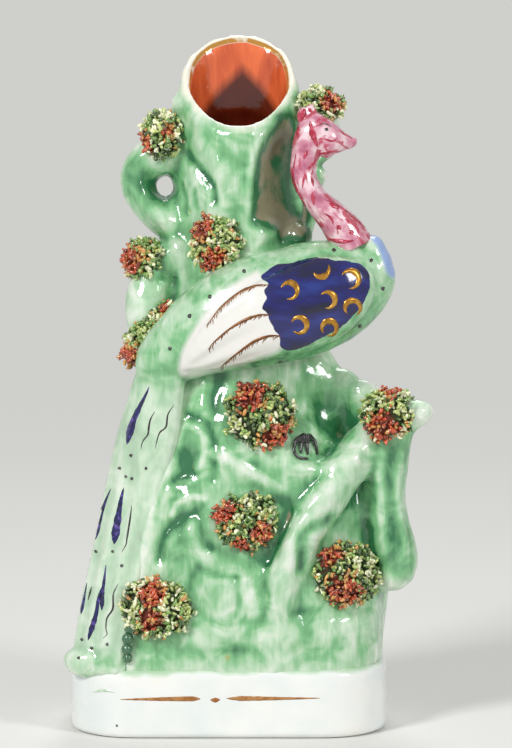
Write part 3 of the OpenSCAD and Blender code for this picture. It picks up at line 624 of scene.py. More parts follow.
def pinched(values, along, edges):
    """How far values move when the clay between each pair of edges is pinched to the next pair."""
    place, low, high, new_low, new_high = np.array(edges).T
    low, high, new_low, new_high = (np.interp(along, place, side) for side in (low, high, new_low, new_high))
    share = (np.clip(values, low, high) - low) / (high - low)
    return new_low + share * (new_high - new_low) - np.clip(values, low, high)


def keep(mesh, name, values):
    """Stores one number for each point."""
    layer = mesh.attributes.get(name) or mesh.attributes.new(name, "FLOAT", "POINT")
    layer.data.foreach_set("value", np.ascontiguousarray(values, np.float32))


def store_hollows(mesh, rounds, pools_and_shade):
    """Stores how deep each point lies in a hollow, in millimetres, plus pooled glaze and painted shade;
    ridges count less.
    """
    points, normals = places(mesh)
    depth = ((relaxed(mesh, points, rounds) - points) * normals).sum(1) / MM
    depth = np.where(depth > 0, np.minimum(depth, DEEPEST_HOLLOW), depth * RIDGE_SHARE)
    keep(mesh, "hollow", depth + pools_and_shade)


def surface_of(piece):
    """Tree of faces for casting on a piece."""
    clay = bmesh.new()
    clay.from_mesh(piece.data)
    tree = BVHTree.FromBMesh(clay)
    clay.free()
    return tree


def ride(piece, material, slot, *nodes):
    """Glazes a piece and rides it on the one body, in place of its nodes."""
    piece.data.materials.append(material)
    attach(piece, "root")
    if nodes:
        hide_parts(*nodes)


# Materials


def add(tree, kind, settings=None, links=None, out=None):
    """Adds a node, sets its properties, inputs and ramp stops, links its inputs, and gives it or one output.

    A word or hex value on an input or a stop is a colour.
    """
    made = tree.nodes.new("ShaderNode" + kind)
    for key, value in (settings or {}).items():
        if key == "stops":
            stops = made.color_ramp.elements
            while len(stops) < len(value):
                stops.new(0.5)
            for stop, (place, shade) in zip(stops, value):
                stop.position = place
                stop.color = colour(shade)
        elif isinstance(key, str) and hasattr(made, key):
            setattr(made, key, value)
        else:
            made.inputs[key].default_value = colour(value) if isinstance(value, str) else value
    for key, source in (links or {}).items():
        tree.links.new(source, made.inputs[key])
    return made if out is None else made.outputs[out]


def new_material(name):
    """Empty node material, its tree, its output and the place on the object."""
    material = bpy.data.materials.new(name)
    material.use_nodes = True
    tree = material.node_tree
    tree.nodes.clear()
    return material, tree, add(tree, "OutputMaterial"), add(tree, "TexCoord", out="Object")


def finish_material(tree, output, settings, links, rough, bumps):
    """Joins a glaze's shader to the output.

    Roughness is a source with its least and greatest value, and a bump a source, its height in metres and
    its strength.
    """
    source, low, high = rough
    rough = add(tree, "MapRange", {"To Min": low, "To Max": high}, {"Value": source}, out="Result")
    links = {**links, "Roughness": rough}
    below = {}
    for source, height, strength in bumps:
        normal = add(tree, "Bump", {"Distance": height, "Strength": strength}, {"Height": source, **below},
                     out="Normal")
        below = {"Normal": normal}
    shader = add(tree, "BsdfPrincipled", settings, {**links, **below}, out="BSDF")
    tree.links.new(shader, output.inputs["Surface"])


GLOSSY = {"IOR": 1.55, "Coat Weight": 0.4, "Coat Roughness": 0.04, "Coat IOR": 1.5}


def green_wash(tree, here, strength):
    """Colour of thin green lead glaze: white on ridges, green where brushed, run or pooled, darker with
    painted shade.
    """
    hollow = add(tree, "Attribute", {"attribute_name": "hollow"}, out="Fac")
    # Brush marks curl about and are about 4 mm wide
    brushed = add(tree, "TexNoise", {
        "Scale": 1 / 0.0085, "Detail": 2.0, "Roughness": 0.45, "Distortion": 1.6},
        {"Vector": here}, out="Fac")
    # Runs of glaze are about 4 mm wide and four times as long
    run_place = add(tree, "Mapping", {"Scale": (1.0, 1.0, 0.22)}, {"Vector": here}, out="Vector")
    runs = add(tree, "TexNoise", {"Scale": 1 / 0.0045, "Detail": 3.0, "Distortion": 0.5},
               {"Vector": run_place}, out="Fac")
    # Washes are about 16 mm across
    wash = add(tree, "TexNoise", {"Scale": 1 / 0.016, "Detail": 2.0}, {"Vector": here}, out="Fac")
    # Hair marks of the brush swirl in lines about a millimetre wide
    hairs = add(tree, "TexNoise", {
        "Scale": 1 / 0.0028, "Detail": 3.0, "Distortion": 1.4}, {"Vector": run_place}, out="Fac")
    part = add(tree, "Math", {"operation": "MULTIPLY_ADD", 1: 0.384, 2: strength},
               {0: hollow}, out="Value")
    for layer, share in ((brushed, 0.4), (runs, 0.288), (wash, 0.272), (hairs, 0.208)):
        part = add(tree, "Math", {"operation": "MULTIPLY_ADD", 1: share},
                   {0: layer, 2: part}, out="Value")
    # The olive last stop is painted shade; the deep green before it is pooled glaze and painted shade
    ramp = add(tree, "ValToRGB", {"stops": (
        (0.038, "clay_white"), (0.206, "green_pale"), (0.374, "green_mid"),
        (0.624, "green_deep"), (0.84, "green_deep"), (1.0, "green_shade"))}, {"Fac": part})
    return ramp.outputs["Color"], runs, wash


def coated(tree, shade, paint, source, start, end, most=1.0):
    """Colour with a coat of another, named or linked, that thickens as a source goes from start to end."""
    part = add(tree, "MapRange", {"From Min": start, "From Max": end, "To Max": most}, {"Value": source},
               out="Result")
    settings = {"data_type": "RGBA"}
    links = {0: part, 6: shade}
    if isinstance(paint, str):
        settings[7] = paint
    else:
        links[7] = paint
    return add(tree, "Mix", settings, links, out=2)


def specked(tree, here, shade, paint, spacing, rare, edge):
    """Colour with specks of iron: at most one in each cell of a spacing in metres, in a rare few cells."""
    cells = add(tree, "TexVoronoi", {"Scale": 1 / spacing}, {"Vector": here})
    chosen = add(tree, "SeparateColor", links={"Color": cells.outputs["Color"]}, out="Red")
    chosen = add(tree, "Math", {"operation": "GREATER_THAN", 1: rare}, {0: chosen}, out="Value")
    speck = add(tree, "MapRange", edge, {"Value": cells.outputs["Distance"]}, out="Result")
    speck = add(tree, "Math", {"operation": "MULTIPLY"}, {0: speck, 1: chosen}, out="Value")
    return add(tree, "Mix", {"data_type": "RGBA", 7: paint}, {0: speck, 6: shade}, out=2)


def tree_glaze():
    """Green lead glaze over white earthenware: runny, wet looking, pooled dark in the creases, and darkened
    with painted shade in recesses and on the trunk's shaded side.

    The lip is left white with a worn gilt edge, and the well is brushed with iron red and a painted shadow
    far down it.
    """
    material, tree, output, here = new_material("green_lead_glaze")
    green, runs, wash = green_wash(tree, here, -0.266)
    # Ochre specks where iron in the clay bleeds through, about a millimetre across and far apart
    shade = specked(tree, here, green, "#B09A3C", 0.011, 0.84,
                    {"From Min": 0.11, "From Max": 0.03, "To Max": 0.55})
    # The back is painted thinly
    back = add(tree, "SeparateXYZ", links={"Vector": here}, out="Y")
    shade = coated(tree, shade, "clay_white", back, 0.006, 0.024, 0.4)
    # White band of the lip, about 2 mm deep with a ragged edge
    below = add(tree, "VectorMath", {"operation": "DOT_PRODUCT", 1: (0.0, LIP_SLOPE, -1.0)},
                {0: here}, out="Value")
    ragged = add(tree, "Math", {"operation": "MULTIPLY_ADD", 1: 0.006}, {0: wash, 2: below}, out="Value")
    lip_level = (LIP_FRONT[0] * LIP_SLOPE - LIP_FRONT[1]) * MM
    shade = coated(tree, shade, "lip_cream", ragged, lip_level + 0.0056, lip_level + 0.0038)
    # Iron red lining, streaked by the brush, with a painted shadow where the lip keeps the light off the far
    # wall
    rim = add(tree, "Attribute", {"attribute_name": "rim"}, out="Fac")
    shaky = add(tree, "Math", {"operation": "MULTIPLY_ADD", 1: 0.7}, {0: wash, 2: rim}, out="Value")
    red = add(tree, "ValToRGB", {"stops": (
        (0.25, "lining_deep"), (0.6, "lining"))}, {"Fac": runs}, out="Color")
    # The painted shadow grows from 5 to 9 mm down in the middle of the far wall, and lower to either side
    aside = add(tree, "SeparateXYZ", links={"Vector": here}, out="X")
    aside = add(tree, "Math", {"operation": "SUBTRACT", 1: 0.0042}, {0: aside}, out="Value")
    aside = add(tree, "Math", {"operation": "ABSOLUTE"}, {0: aside}, out="Value")
    under = add(tree, "Math", {"operation": "MULTIPLY_ADD", 1: -0.85}, {0: aside, 2: below}, out="Value")
    red = coated(tree, red, "lining_dark", under, lip_level + 0.0046, lip_level + 0.0092, 0.95)
    shade = coated(tree, shade, red, shaky, 2.6, 2.85)
    # Gilt line about half a millimetre wide along the lining's edge, worn through in places
    line_in = add(tree, "MapRange", {"From Min": 1.7, "From Max": 1.9}, {"Value": shaky}, out="Result")
    line_out = add(tree, "MapRange", {"From Min": 2.75, "From Max": 2.6}, {"Value": shaky}, out="Result")
    worn = add(tree, "TexNoise", {"Scale": 1 / 0.006, "Detail": 4.0}, {"Vector": here}, out="Fac")
    worn = add(tree, "MapRange", {"From Min": 0.3, "From Max": 0.42}, {"Value": worn}, out="Result")
    gilt = add(tree, "Math", {"operation": "MULTIPLY"}, {0: line_in, 1: line_out}, out="Value")
    gilt = add(tree, "Math", {"operation": "MULTIPLY"}, {0: gilt, 1: worn}, out="Value")
    shade = add(tree, "Mix", {"data_type": "RGBA", 7: "gilt"}, {0: gilt, 6: shade}, out=2)
    metal = add(tree, "Math", {"operation": "MULTIPLY", 1: 0.3}, {0: gilt}, out="Value")
    ripples = add(tree, "TexNoise", {"Scale": 1 / 0.0032, "Detail": 2.0}, {"Vector": here}, out="Fac")
    finish_material(tree, output, GLOSSY, {"Base Color": shade, "Metallic": metal}, (wash, 0.08, 0.2),
                    ((runs, 0.0007, 0.4), (ripples, 0.0005, 0.4)))
    return material


def plinth_glaze():
    """Clear lead glaze over white earthenware: milky, a little blue, and mint where green ran down."""
    material, tree, output, here = new_material("clear_lead_glaze")
    wash = add(tree, "TexNoise", {"Scale": 1 / 0.014, "Detail": 3.0}, {"Vector": here}, out="Fac")
    white = add(tree, "ValToRGB", {"stops": (
        (0.3, "#E6ECEA"), (0.6, "#F1F2EE"),
        (0.8, "#F3F0E6"))}, {"Fac": wash}, out="Color")
    height = add(tree, "SeparateXYZ", links={"Vector": here}, out="Z")
    ragged = add(tree, "Math", {"operation": "MULTIPLY_ADD", 1: 0.006}, {0: wash, 2: height}, out="Value")
    shade = coated(tree, white, "green_pale", ragged, 0.0228, 0.0242)
    # Iron specks in the clay, under half a millimetre, a few to a hand's breadth
    shade = specked(tree, here, shade, "#5A5346", 0.007, 0.86,
                    {"From Min": 0.05, "From Max": 0.03, "To Max": 0.7})
    waves = add(tree, "TexNoise", {"Scale": 1 / 0.006, "Detail": 2.0}, {"Vector": here}, out="Fac")
    finish_material(tree, output, GLOSSY, {"Base Color": shade}, (wash, 0.07, 0.16), ((waves, 0.0004, 0.35),))
    return material


def bird_glaze():
    """Bird in thin green glaze with a white wing panel, a cobalt enamel wing and a pale blue breast patch."""
    material, tree, output, here = new_material("painted_lead_glaze")
    green, runs, wash = green_wash(tree, here, -0.262)
    train = add(tree, "Attribute", {"attribute_name": "train"}, out="Fac")
    shade = add(tree, "Mix", {"data_type": "RGBA", 7: "clay_white"}, {0: train, 6: green}, out=2)
    brush = add(tree, "TexNoise", {"Scale": 1 / 0.0028, "Detail": 3.0}, {"Vector": here}, out="Fac")
    # Cobalt is streaked along the feathers, which lean down to the left
    streak_place = add(tree, "Mapping", {"Rotation": (0.0, math.radians(-32), 0.0), "Scale": (0.3, 1.0, 1.0)},
                       {"Vector": here}, out="Vector")
    streaks = add(tree, "TexNoise", {"Scale": 1 / 0.004, "Detail": 3.0},
                  {"Vector": streak_place}, out="Fac")
    cobalt = add(tree, "ValToRGB", {"stops": (
        (0.34, "blue_dark"), (0.56, "blue"), (0.74, "#162E7C"))},
        {"Fac": streaks}, out="Color")
    # Brush edges wander by about half a millimetre
    for field, start, end, paint in (("panel", 0.0, 1.9, "#E8E6E0"), ("breast", -0.1, 1.1, "breast"),
                                     ("cobalt", 0.42, 0.62, cobalt)):
        value = add(tree, "Attribute", {"attribute_name": field}, out="Fac")
        value = add(tree, "Math", {"operation": "ADD"}, {0: value, 1: brush}, out="Value")
        shade = coated(tree, shade, paint, value, start, end)
    finish_material(tree, output, GLOSSY, {"Base Color": shade}, (wash, 0.08, 0.2),
                    ((runs, 0.0003, 0.3), (brush, 0.00012, 0.3)))
    return material


def neck_glaze():
    """Pink wash over white glaze: patchy, with loose crimson brush marks along the neck."""
    material, tree, output, here = new_material("pink_enamel")
    along = add(tree, "Attribute", {"attribute_name": "along"}, out="Fac")
    edge = add(tree, "Attribute", {"attribute_name": "edge"}, out="Fac")
    around = add(tree, "Attribute", {"attribute_name": "around"}, out="Fac")
    laid = add(tree, "CombineXYZ", links={"X": along, "Y": around}, out="Vector")
    # Brush marks are about 1.5 mm wide and 6 mm long; the attributes are in millimetres
    stroke_place = add(tree, "Mapping", {"Scale": (0.2, 0.62, 1.0)}, {"Vector": laid}, out="Vector")
    strokes = add(tree, "TexNoise", {"Scale": 1.0, "Detail": 2.0, "Distortion": 0.8},
                  {"Vector": stroke_place}, out="Fac")
    wash = add(tree, "TexNoise", {"Scale": 1 / 0.0045, "Detail": 3.0}, {"Vector": here}, out="Fac")
    base = add(tree, "ValToRGB", {"stops": (
        (0.3, "#B0607C"), (0.46, "pink"), (0.64, "#EACCD3"))},
        {"Fac": wash}, out="Color")
    more = add(tree, "Math", {"operation": "MULTIPLY_ADD", 1: 0.18}, {0: edge, 2: strokes}, out="Value")
    shade = coated(tree, base, "crimson", more, 0.62, 0.72, 0.85)
    finish_material(tree, output, GLOSSY, {"Base Color": shade}, (wash, 0.1, 0.22),
                    ((strokes, 0.0003, 0.3), (wash, 0.0002, 0.3)))
    return material


def tuft_glaze():
    """Sieved clay shreds under runny enamel: each shred takes its own colour and a wet highlight.

    The colour's alpha is the gloss, which is low in the clay between the shreds.
    """
    material, tree, output, here = new_material("enamelled_clay_shreds")
    own = add(tree, "Attribute", {"attribute_name": "leaf_colour"})
    # Enamel runs off the tips in patches of about a millimetre
    patch = add(tree, "TexNoise", {"Scale": 1 / 0.0011, "Detail": 2.0}, {"Vector": here}, out="Fac")
    part = add(tree, "MapRange", {"From Min": 0.58, "From Max": 0.76, "To Max": 0.4},
               {"Value": patch}, out="Result")
    gloss = own.outputs["Alpha"]
    part = add(tree, "Math", {"operation": "MULTIPLY"}, {0: part, 1: gloss}, out="Value")
    shade = add(tree, "Mix", {"data_type": "RGBA", 7: "leaf_cream"},
                {0: part, 6: own.outputs["Color"]}, out=2)
    coat = add(tree, "Math", {"operation": "MULTIPLY", 1: 0.6}, {0: gloss}, out="Value")
    finish_material(tree, output, {"IOR": 1.5, "Coat Roughness": 0.06},
                    {"Base Color": shade, "Coat Weight": coat}, (gloss, 0.9, 0.18), ((patch, 0.0003, 0.4),))
    return material


def enamel(name, stops, grain, settings):
    """Brushed enamel or gilding: thin and uneven, so its tone changes along the stroke."""
    material, tree, output, here = new_material(name)
    patch = add(tree, "TexNoise", {"Scale": 1 / grain, "Detail": 4.0}, {"Vector": here}, out="Fac")
    shade = add(tree, "ValToRGB", {"stops": stops}, {"Fac": patch}, out="Color")
    finish_material(tree, output, settings, {"Base Color": shade}, (patch, 0.14, 0.4),
                    ((patch, 0.0001, 0.4),))
    return material


def biscuit_clay():
    """Unglazed earthenware: matt, sandy, a little stained."""
    material, tree, output, here = new_material("biscuit_earthenware")
    stain = add(tree, "TexNoise", {"Scale": 1 / 0.011, "Detail": 5.0}, {"Vector": here}, out="Fac")
    sand = add(tree, "TexNoise", {"Scale": 1 / 0.0008, "Detail": 2.0}, {"Vector": here}, out="Fac")
    shade = add(tree, "ValToRGB", {"stops": (
        (0.3, "#B7A78C"), (0.6, "biscuit"))}, {"Fac": stain}, out="Color")
    finish_material(tree, output, {"IOR": 1.5}, {"Base Color": shade}, (sand, 0.7, 0.95),
                    ((sand, 0.0002, 0.5),))
    return material


# Tree


def ball(clay, middle, radius):
    """Adds a ball of clay and gives its points."""
    return bmesh.ops.create_icosphere(
        clay, subdivisions=2, radius=radius, matrix=Matrix.Translation(middle))["verts"]


def lay_rolls(clay):
    """Lays rolls of clay on the tree as overlapping balls, sunk to the height they stand proud."""
    skin = BVHTree.FromBMesh(clay)
    balls = bmesh.new()
    for _, path, radius, proud in CLAY_ROLLS:
        track = flowing(path, radius * 0.4)
        for place, spot in enumerate(track):
            landed = onto(skin, spot)
            if landed is None:
                continue
            point, normal = landed
            end = min(place, len(track) - 1 - place) / max(1.0, 0.35 * len(track))
            size = radius * (0.72 + 0.28 * min(1.0, end)) * (1.0 + 0.16 * noise.noise(point / 0.006))
            middle = point + normal * (proud * min(1.0, 0.3 + end) - size) * MM
            ball(balls, middle, size * MM)
    join(clay, balls)


def lay_pads(clay, pads):
    """Adds flattened balls of clay."""
    for middle, half in pads:
        shape = Matrix.Translation(Vector(middle) * MM) @ Matrix.Diagonal((*(Vector(half) * MM), 1.0))
        bmesh.ops.create_icosphere(clay, subdivisions=3, radius=1.0, matrix=shape)


def fill_foot(clay):
    """Plugs the closed hollow under the well, which nobody sees."""
    middle = Vector((TRUNK_MIDDLE[0] * MM, 0.0, 0.0))
    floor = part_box("well_floor")[0].z
    found = []
    for name in ("tree_front", "tree_back"):
        for face in frame["nodes"][name].data.polygons:
            out = face.center - middle
            if face.normal.x * out.x + face.normal.y * out.y < 0 and face.center.z < floor:
                found.extend(frame["nodes"][name].data.vertices[i].co.copy() for i in face.vertices)
    plug = [clay.verts.new(point) for point in found]
    made = bmesh.ops.convex_hull(clay, input=plug, use_existing_faces=False)
    spare = {item for item in (*made["geom_interior"], *made["geom_unused"])
             if isinstance(item, bmesh.types.BMVert)}
    bmesh.ops.delete(clay, geom=list(spare), context="VERTS")


def bedded(points):
    """Points with the rounded foot pushed into the plinth, so that no gap shows between them."""
    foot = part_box("tree_front")[0].z + FOOT_ROUND * MM
    points[:, 2] -= rising(points[:, 2], foot, foot - FOOT_ROUND * MM) * FOOT_SUNK * MM
    return points


def rim_field(points):
    """Millimetres by which each point is nearer to the well's wall than to the outer wall."""
    walls = {True: bmesh.new(), False: bmesh.new()}
    for name in ("tree_front", "tree_back"):
        data = frame["nodes"][name].data
        for face in data.polygons:
            seam = abs(face.normal.y) > 0.985 and abs(face.center.y / MM - TRUNK_MIDDLE[1]) < 0.6
            if face.normal.z > 0.6 or seam:
                continue
            out = face.center - Vector((TRUNK_MIDDLE[0] * MM, TRUNK_MIDDLE[1] * MM, 0.0))
            wall = walls[face.normal.x * out.x + face.normal.y * out.y < 0]
            wall.faces.new([wall.verts.new(data.vertices[i].co) for i in face.vertices])
    trees = {inner: BVHTree.FromBMesh(wall) for inner, wall in walls.items()}
    for wall in walls.values():
        wall.free()
    out = np.full(len(points), -4.0 * MM)
    for i in np.nonzero(points[:, 2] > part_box("well_floor")[0].z)[0]:
        point = Vector(points[i])
        out[i] = trees[False].find_nearest(point)[3] - trees[True].find_nearest(point)[3]
    return out / MM


def lip_drop(points):
    """Millimetres below the plane of the lip."""
    return LIP_FRONT[1] + (points[:, 1] / MM - LIP_FRONT[0]) * LIP_SLOPE - points[:, 2] / MM


def work_clay(piece, free):
    """Presses and raises the tool marks where free is above nought, and gives the pooled glaze and painted
    shade.
    """
    skin = surface_of(piece)
    points, normals = places(piece.data)
    moved = points.copy()
    pools_and_shade = np.zeros(len(points))
    for _, path, radius, depth, pool_and_shade in TOOL_MARKS:
        landed = [onto(skin, spot) for spot in flowing(path, radius * 0.5)]
        landed = [hit for hit in landed if hit is not None]
        if not landed:
            continue
        track = np.array([hit[0] for hit in landed])
        push = np.array(sum((hit[1] for hit in landed), Vector()).normalized())
        reach = radius * MM
        close = ((points > track.min(0) - 3 * reach) & (points < track.max(0) + 3 * reach)).all(1)
        here = np.nonzero(close)[0]
        near = np.min([((points[here] - spot) ** 2).sum(1) for spot in track], 0)
        outward = normals[here] @ push > 0.0
        # A raised lobe has a flatter top and a steeper edge than a pressed mark. The well's wall
        # gives way behind a pressed mark, so that the wall keeps its thickness.
        if depth < 0:
            weight = np.exp(-(near / reach ** 2) ** 2) * outward
        else:
            weight = np.exp(-near / (np.where(outward, 1.0, 1.25) * reach) ** 2)
        moved[here] -= (weight * free[here])[:, None] * push * depth * MM
        # Glaze pooled in the mark, and painted shade where the mark stands for a shadow
        pools_and_shade[here] += weight * outward * pool_and_shade
    put(piece.data, moved)
    return pools_and_shade


def gnarl(piece, amount, free):
    """Raises the bark's long swells, which lean as they climb."""
    points, normals = places(piece.data)
    swell = np.empty(len(points))
    for i, (x, y, z) in enumerate(points):
        spot = Vector((x + 0.2 * z, y, z * 0.36)) / 0.0085
        swell[i] = noise.noise(spot) + 0.6 * noise.noise(spot * 2.1 + Vector((7, 3, 5)))
    put(piece.data, points + normals * (swell * amount * free)[:, None])


def open_ear(points):
    """Points with the ear's inner edge sagged and its eye pushed open."""
    middle, reach, drop = EAR_SAG
    sag = np.linalg.norm(front_view(points) - np.array(middle), axis=1)
    points[:, 2] -= drop * MM * np.exp(-(sag / reach) ** 2)
    middle, reach, push = EAR_HOLE
    away = front_view(points) - np.array(middle)
    near = np.maximum(np.linalg.norm(away, axis=1), 0.1)
    push = push * np.exp(-(near / reach) ** 2) / near * np.where(away[:, 0] > 0, 0.5, 1.0)
    points[:, 0] += away[:, 0] * push * MM
    points[:, 2] += away[:, 1] * push * MM
    return points


def clear_of_tufts(points):
    """One for points well away from the tufts, falling to nought at their seats."""
    clear = np.full(len(points), 1.0)
    for name in TUFT_NODES:
        seat = surface_of(frame["nodes"][name])
        low, high = (np.array(corner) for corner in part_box(name))
        close = ((points > low - 4 * MM) & (points < high + 4 * MM)).all(1)
        for i in np.nonzero(close)[0]:
            gap = seat.find_nearest(Vector(points[i]))[3] / MM
            clear[i] = min(clear[i], rising(gap, *TUFT_CLEAR))
    return clear


class VASE_OT_tree(bpy.types.Operator):
    """Tree of pressed clay with its limbs, blended, worked with thumb and tool, and glazed"""

    bl_idname = "vase.tree"
    bl_label = "Tree"

    def execute(self, context):
        clay = clay_of(TREE_NODES, SLIP * MM)
        lay_rolls(clay)
        lay_pads(clay, TREE_PADS)
        fill_foot(clay)
        piece = blended(new_piece("glazed_tree", clay), sizes().tree_grain, 13)
        points = open_ear(bedded(places(piece.data)[0]))
        u, v = front_view(points).T
        points[:, 0] += pinched(u, v, LIMB_EDGES) * rising(u, *LIMB_SIDE) * MM
        put(piece.data, points)
        # The lip is wiped round with a wet finger
        rim = rim_field(points)
        wiped = rising(lip_drop(points), *LIP_WIPED)[:, None]
        points = points * (1 - wiped) + relaxed(piece.data, points, 10) * wiped
        points[:, 2] -= wiped[:, 0] * rising(rim, *LIP_OUTSIDE) * LIP_ROUND * MM
        put(piece.data, points)
        below_lip = rising(lip_drop(points), *LIP_CLEAR)
        clear = clear_of_tufts(points)
        gnarl(piece, sizes().gnarl, rising(rim, *BARK_SIDE) * below_lip)
        pools_and_shade = work_clay(piece, clear * below_lip)
        points, _ = places(piece.data)
        put(piece.data, relaxed(piece.data, points, 2))
        # The hollows are stored with the pooled glaze and the painted shade of the tool marks
        store_hollows(piece.data, 30, pools_and_shade)
        keep(piece.data, "rim", rim)
        ride(piece, tree_glaze(), "green_glaze", *TREE_NODES)
        return {"FINISHED"}


class VASE_OT_plinth(bpy.types.Operator):
    """White plinth with its soft pressed edges, and the biscuit slab under it"""

    bl_idname = "vase.plinth"
    bl_label = "Plinth"

    def execute(self, context):
        clay = clay_of(("plinth",), 0.0)
        piece = blended(new_piece("glazed_plinth", clay), PLINTH_GRAIN * MM, 4)
        points, normals = places(piece.data)
        swell = np.array([noise.noise(Vector(p) / 0.019) for p in points])
        on_side = np.clip(1.2 - np.abs(normals[:, 2]) * 1.5, 0, 1)
        put(piece.data, points + normals * (swell * on_side * PLINTH_SWELL * MM)[:, None])
        ride(piece, plinth_glaze(), "white_glaze", "plinth")
        slab = frame["nodes"]["base_slab"]
        slab.data.materials.clear()
        slab.data.materials.append(biscuit_clay())
        return {"FINISHED"}


# Bird


class VASE_OT_bird(bpy.types.Operator):
    """Peacock's body, wing and train, with the fields of paint"""

    bl_idname = "vase.bird"
    bl_label = "Bird"

    def execute(self, context):
        clay = clay_of(BIRD_NODES, SLIP * MM)
        lay_pads(clay, BIRD_PADS)
        piece = blended(new_piece("peacock", clay), sizes().bird_grain, 12)
        mesh = piece.data
        put(mesh, bedded(places(mesh)[0]))
        points, normals = places(mesh)
        # Painted shade on the body's under side, where it faces down, added to the glaze pooled in hollows
        height = points[:, 2] / MM
        store_hollows(mesh, 30, np.clip(-normals[:, 2], 0, 1) * UNDER_SHADE * rising(height, *BODY_UNDER))
        seen = front_view(points)
        facing = np.clip(-(normals @ np.array(LOOK)) * 3.0, -1.0, 1.0)
        for field, outline in (("cobalt", BLUE_FIELD), ("panel", WHITE_PANEL), ("breast", BREAST_PATCH)):
            value = inside(seen, flowing((*outline, outline[0]), 1.0)[:-1])
            edge = facing * 6.0
            if field == "breast":
                edge = BREAST_DEPTH[1] - np.abs(points[:, 1] / MM - BREAST_DEPTH[0])
            keep(mesh, field, np.where((facing > 0) & (edge > 0), value, np.minimum(value, edge)))
        keep(mesh, "train", rising(height, *TRAIN_TOP) * TRAIN_WHITE * rising(height, *TRAIN_FOOT))
        ride(piece, bird_glaze(), "bird_green", *BIRD_NODES)
        return {"FINISHED"}


class VASE_OT_neck(bpy.types.Operator):
    """Peacock's neck, head and crest"""

    bl_idname = "vase.neck"
    bl_label = "Neck and head"

    def execute(self, context):
        clay = clay_of(("peacock_neck",), SLIP * MM)
        lay_pads(clay, CREST_PADS)
        piece = blended(new_piece("peacock_neck_and_head", clay), NECK_GRAIN * MM, 5)
        mesh = piece.data
        points, _ = places(mesh)
        u, v = front_view(points).T
        points[:, 0] += pinched(u, v, NECK_EDGES) * MM - rising(u, *BEAK) * BEAK_CUT * MM
        points[:, 2] += pinched(v, u, HEAD_EDGES) * rising(v, *HEAD_FOOT) * MM
        put(mesh, relaxed(mesh, points, 3))
        points, normals = places(mesh)
        line = [Vector((u, 0.0, v)) for u, v in NECK_LINE]
        track = np.array(flowing(line, 0.5))
        flat = points / MM * np.array((1.0, 0.0, 1.0))
        near = np.argmin(((flat[:, None, :] - track[None]) ** 2).sum(2), 1)
        side = np.array([*np.diff(track, axis=0), track[-1] - track[-2]])[near]
        side /= np.linalg.norm(side, axis=1)[:, None]
        across = flat - track[near]
        off = across[:, 0] * side[:, 2] - across[:, 2] * side[:, 0]
        keep(mesh, "along", near * 0.5)
        keep(mesh, "around", off + np.where(normals[:, 1] > 0, 9.0, 0.0))
        keep(mesh, "edge", np.clip(np.abs(off) / 3.6 - 0.35, 0, 1))
        ride(piece, neck_glaze(), "neck_pink", *NECK_NODES)
        return {"FINISHED"}


class VASE_OT_claw(bpy.types.Operator):
    """Black claw on the ledge: a knuckle and four toes with gaps between them"""

    bl_idname = "vase.claw"
    bl_label = "Claw"

    def execute(self, context):
        clay = bmesh.new()
        ground = surface_of(bpy.data.objects["glazed_tree"])
        for toe in CLAW_TOES:
            track = flowing(toe, 0.3)
            for place, spot in enumerate(track):
                landed = onto(ground, spot)
                if landed is None:
                    raise RuntimeError("a toe of the claw misses the ledge")
                share = place / (len(track) - 1)
                size = (1.25 - 0.6 * min(1.0, share * 3.0) - 0.2 * share) * MM
                ball(clay, landed[0] + landed[1] * (1.5 - 1.1 * share) * MM, size)
        piece = blended(new_piece("peacock_claw", clay), CLAW_GRAIN * MM, 2)
        paint = enamel("black_enamel_claw", ((0.35, "#0E0D0F"), (0.7, "#2C2C2E")), 0.0014, GLOSSY)
        ride(piece, paint, "claw_black", "peacock_foot")
        return {"FINISHED"}


# Tufts


def redness(spot):
    """How far a front-view spot lies inside the red dabs, above nought inside one."""
    return max(0.9 - math.dist(spot, place[:2]) / place[2] for place in RED_DABS)


def shred_colour(place, rng, bright):
    """Colour of one shred: red where the brush dabbed it, else in clumps from dark to cream; bright also
    carries painted shade for shreds deep in the heap.
    """
    red = redness(front_view([place])[0]) + rng.gauss(0.0, 0.13)
    tone = noise.noise(place / 0.0026) + rng.gauss(0.0, 0.22) + bright
    if red > 0.04:
        name = rng.choices(("leaf_red", "leaf_amber", "leaf_brown"), (0.62, 0.18, 0.2))[0]
    elif red > -0.3 and rng.random() < 0.22 or rng.random() < 0.03:
        name = "leaf_amber"
    elif tone < -0.05:
        name = "leaf_dark" if tone < -0.26 else "leaf"
    else:
        name = "leaf" if tone < 0.06 else "leaf_pale" if tone < 0.36 else "leaf_cream"
    lift = rng.uniform(0.75, 1.25)
    return (*[min(1.0, c * lift) for c in colour(name)[:3]], 1.0)


def bare_faces(name, neighbours):
    """Faces of a tuft that don't rest on a neighbour."""
    return [face for face in frame["nodes"][name].data.polygons
            if neighbours.find_nearest(face.center, 0.6 * MM)[0] is None]


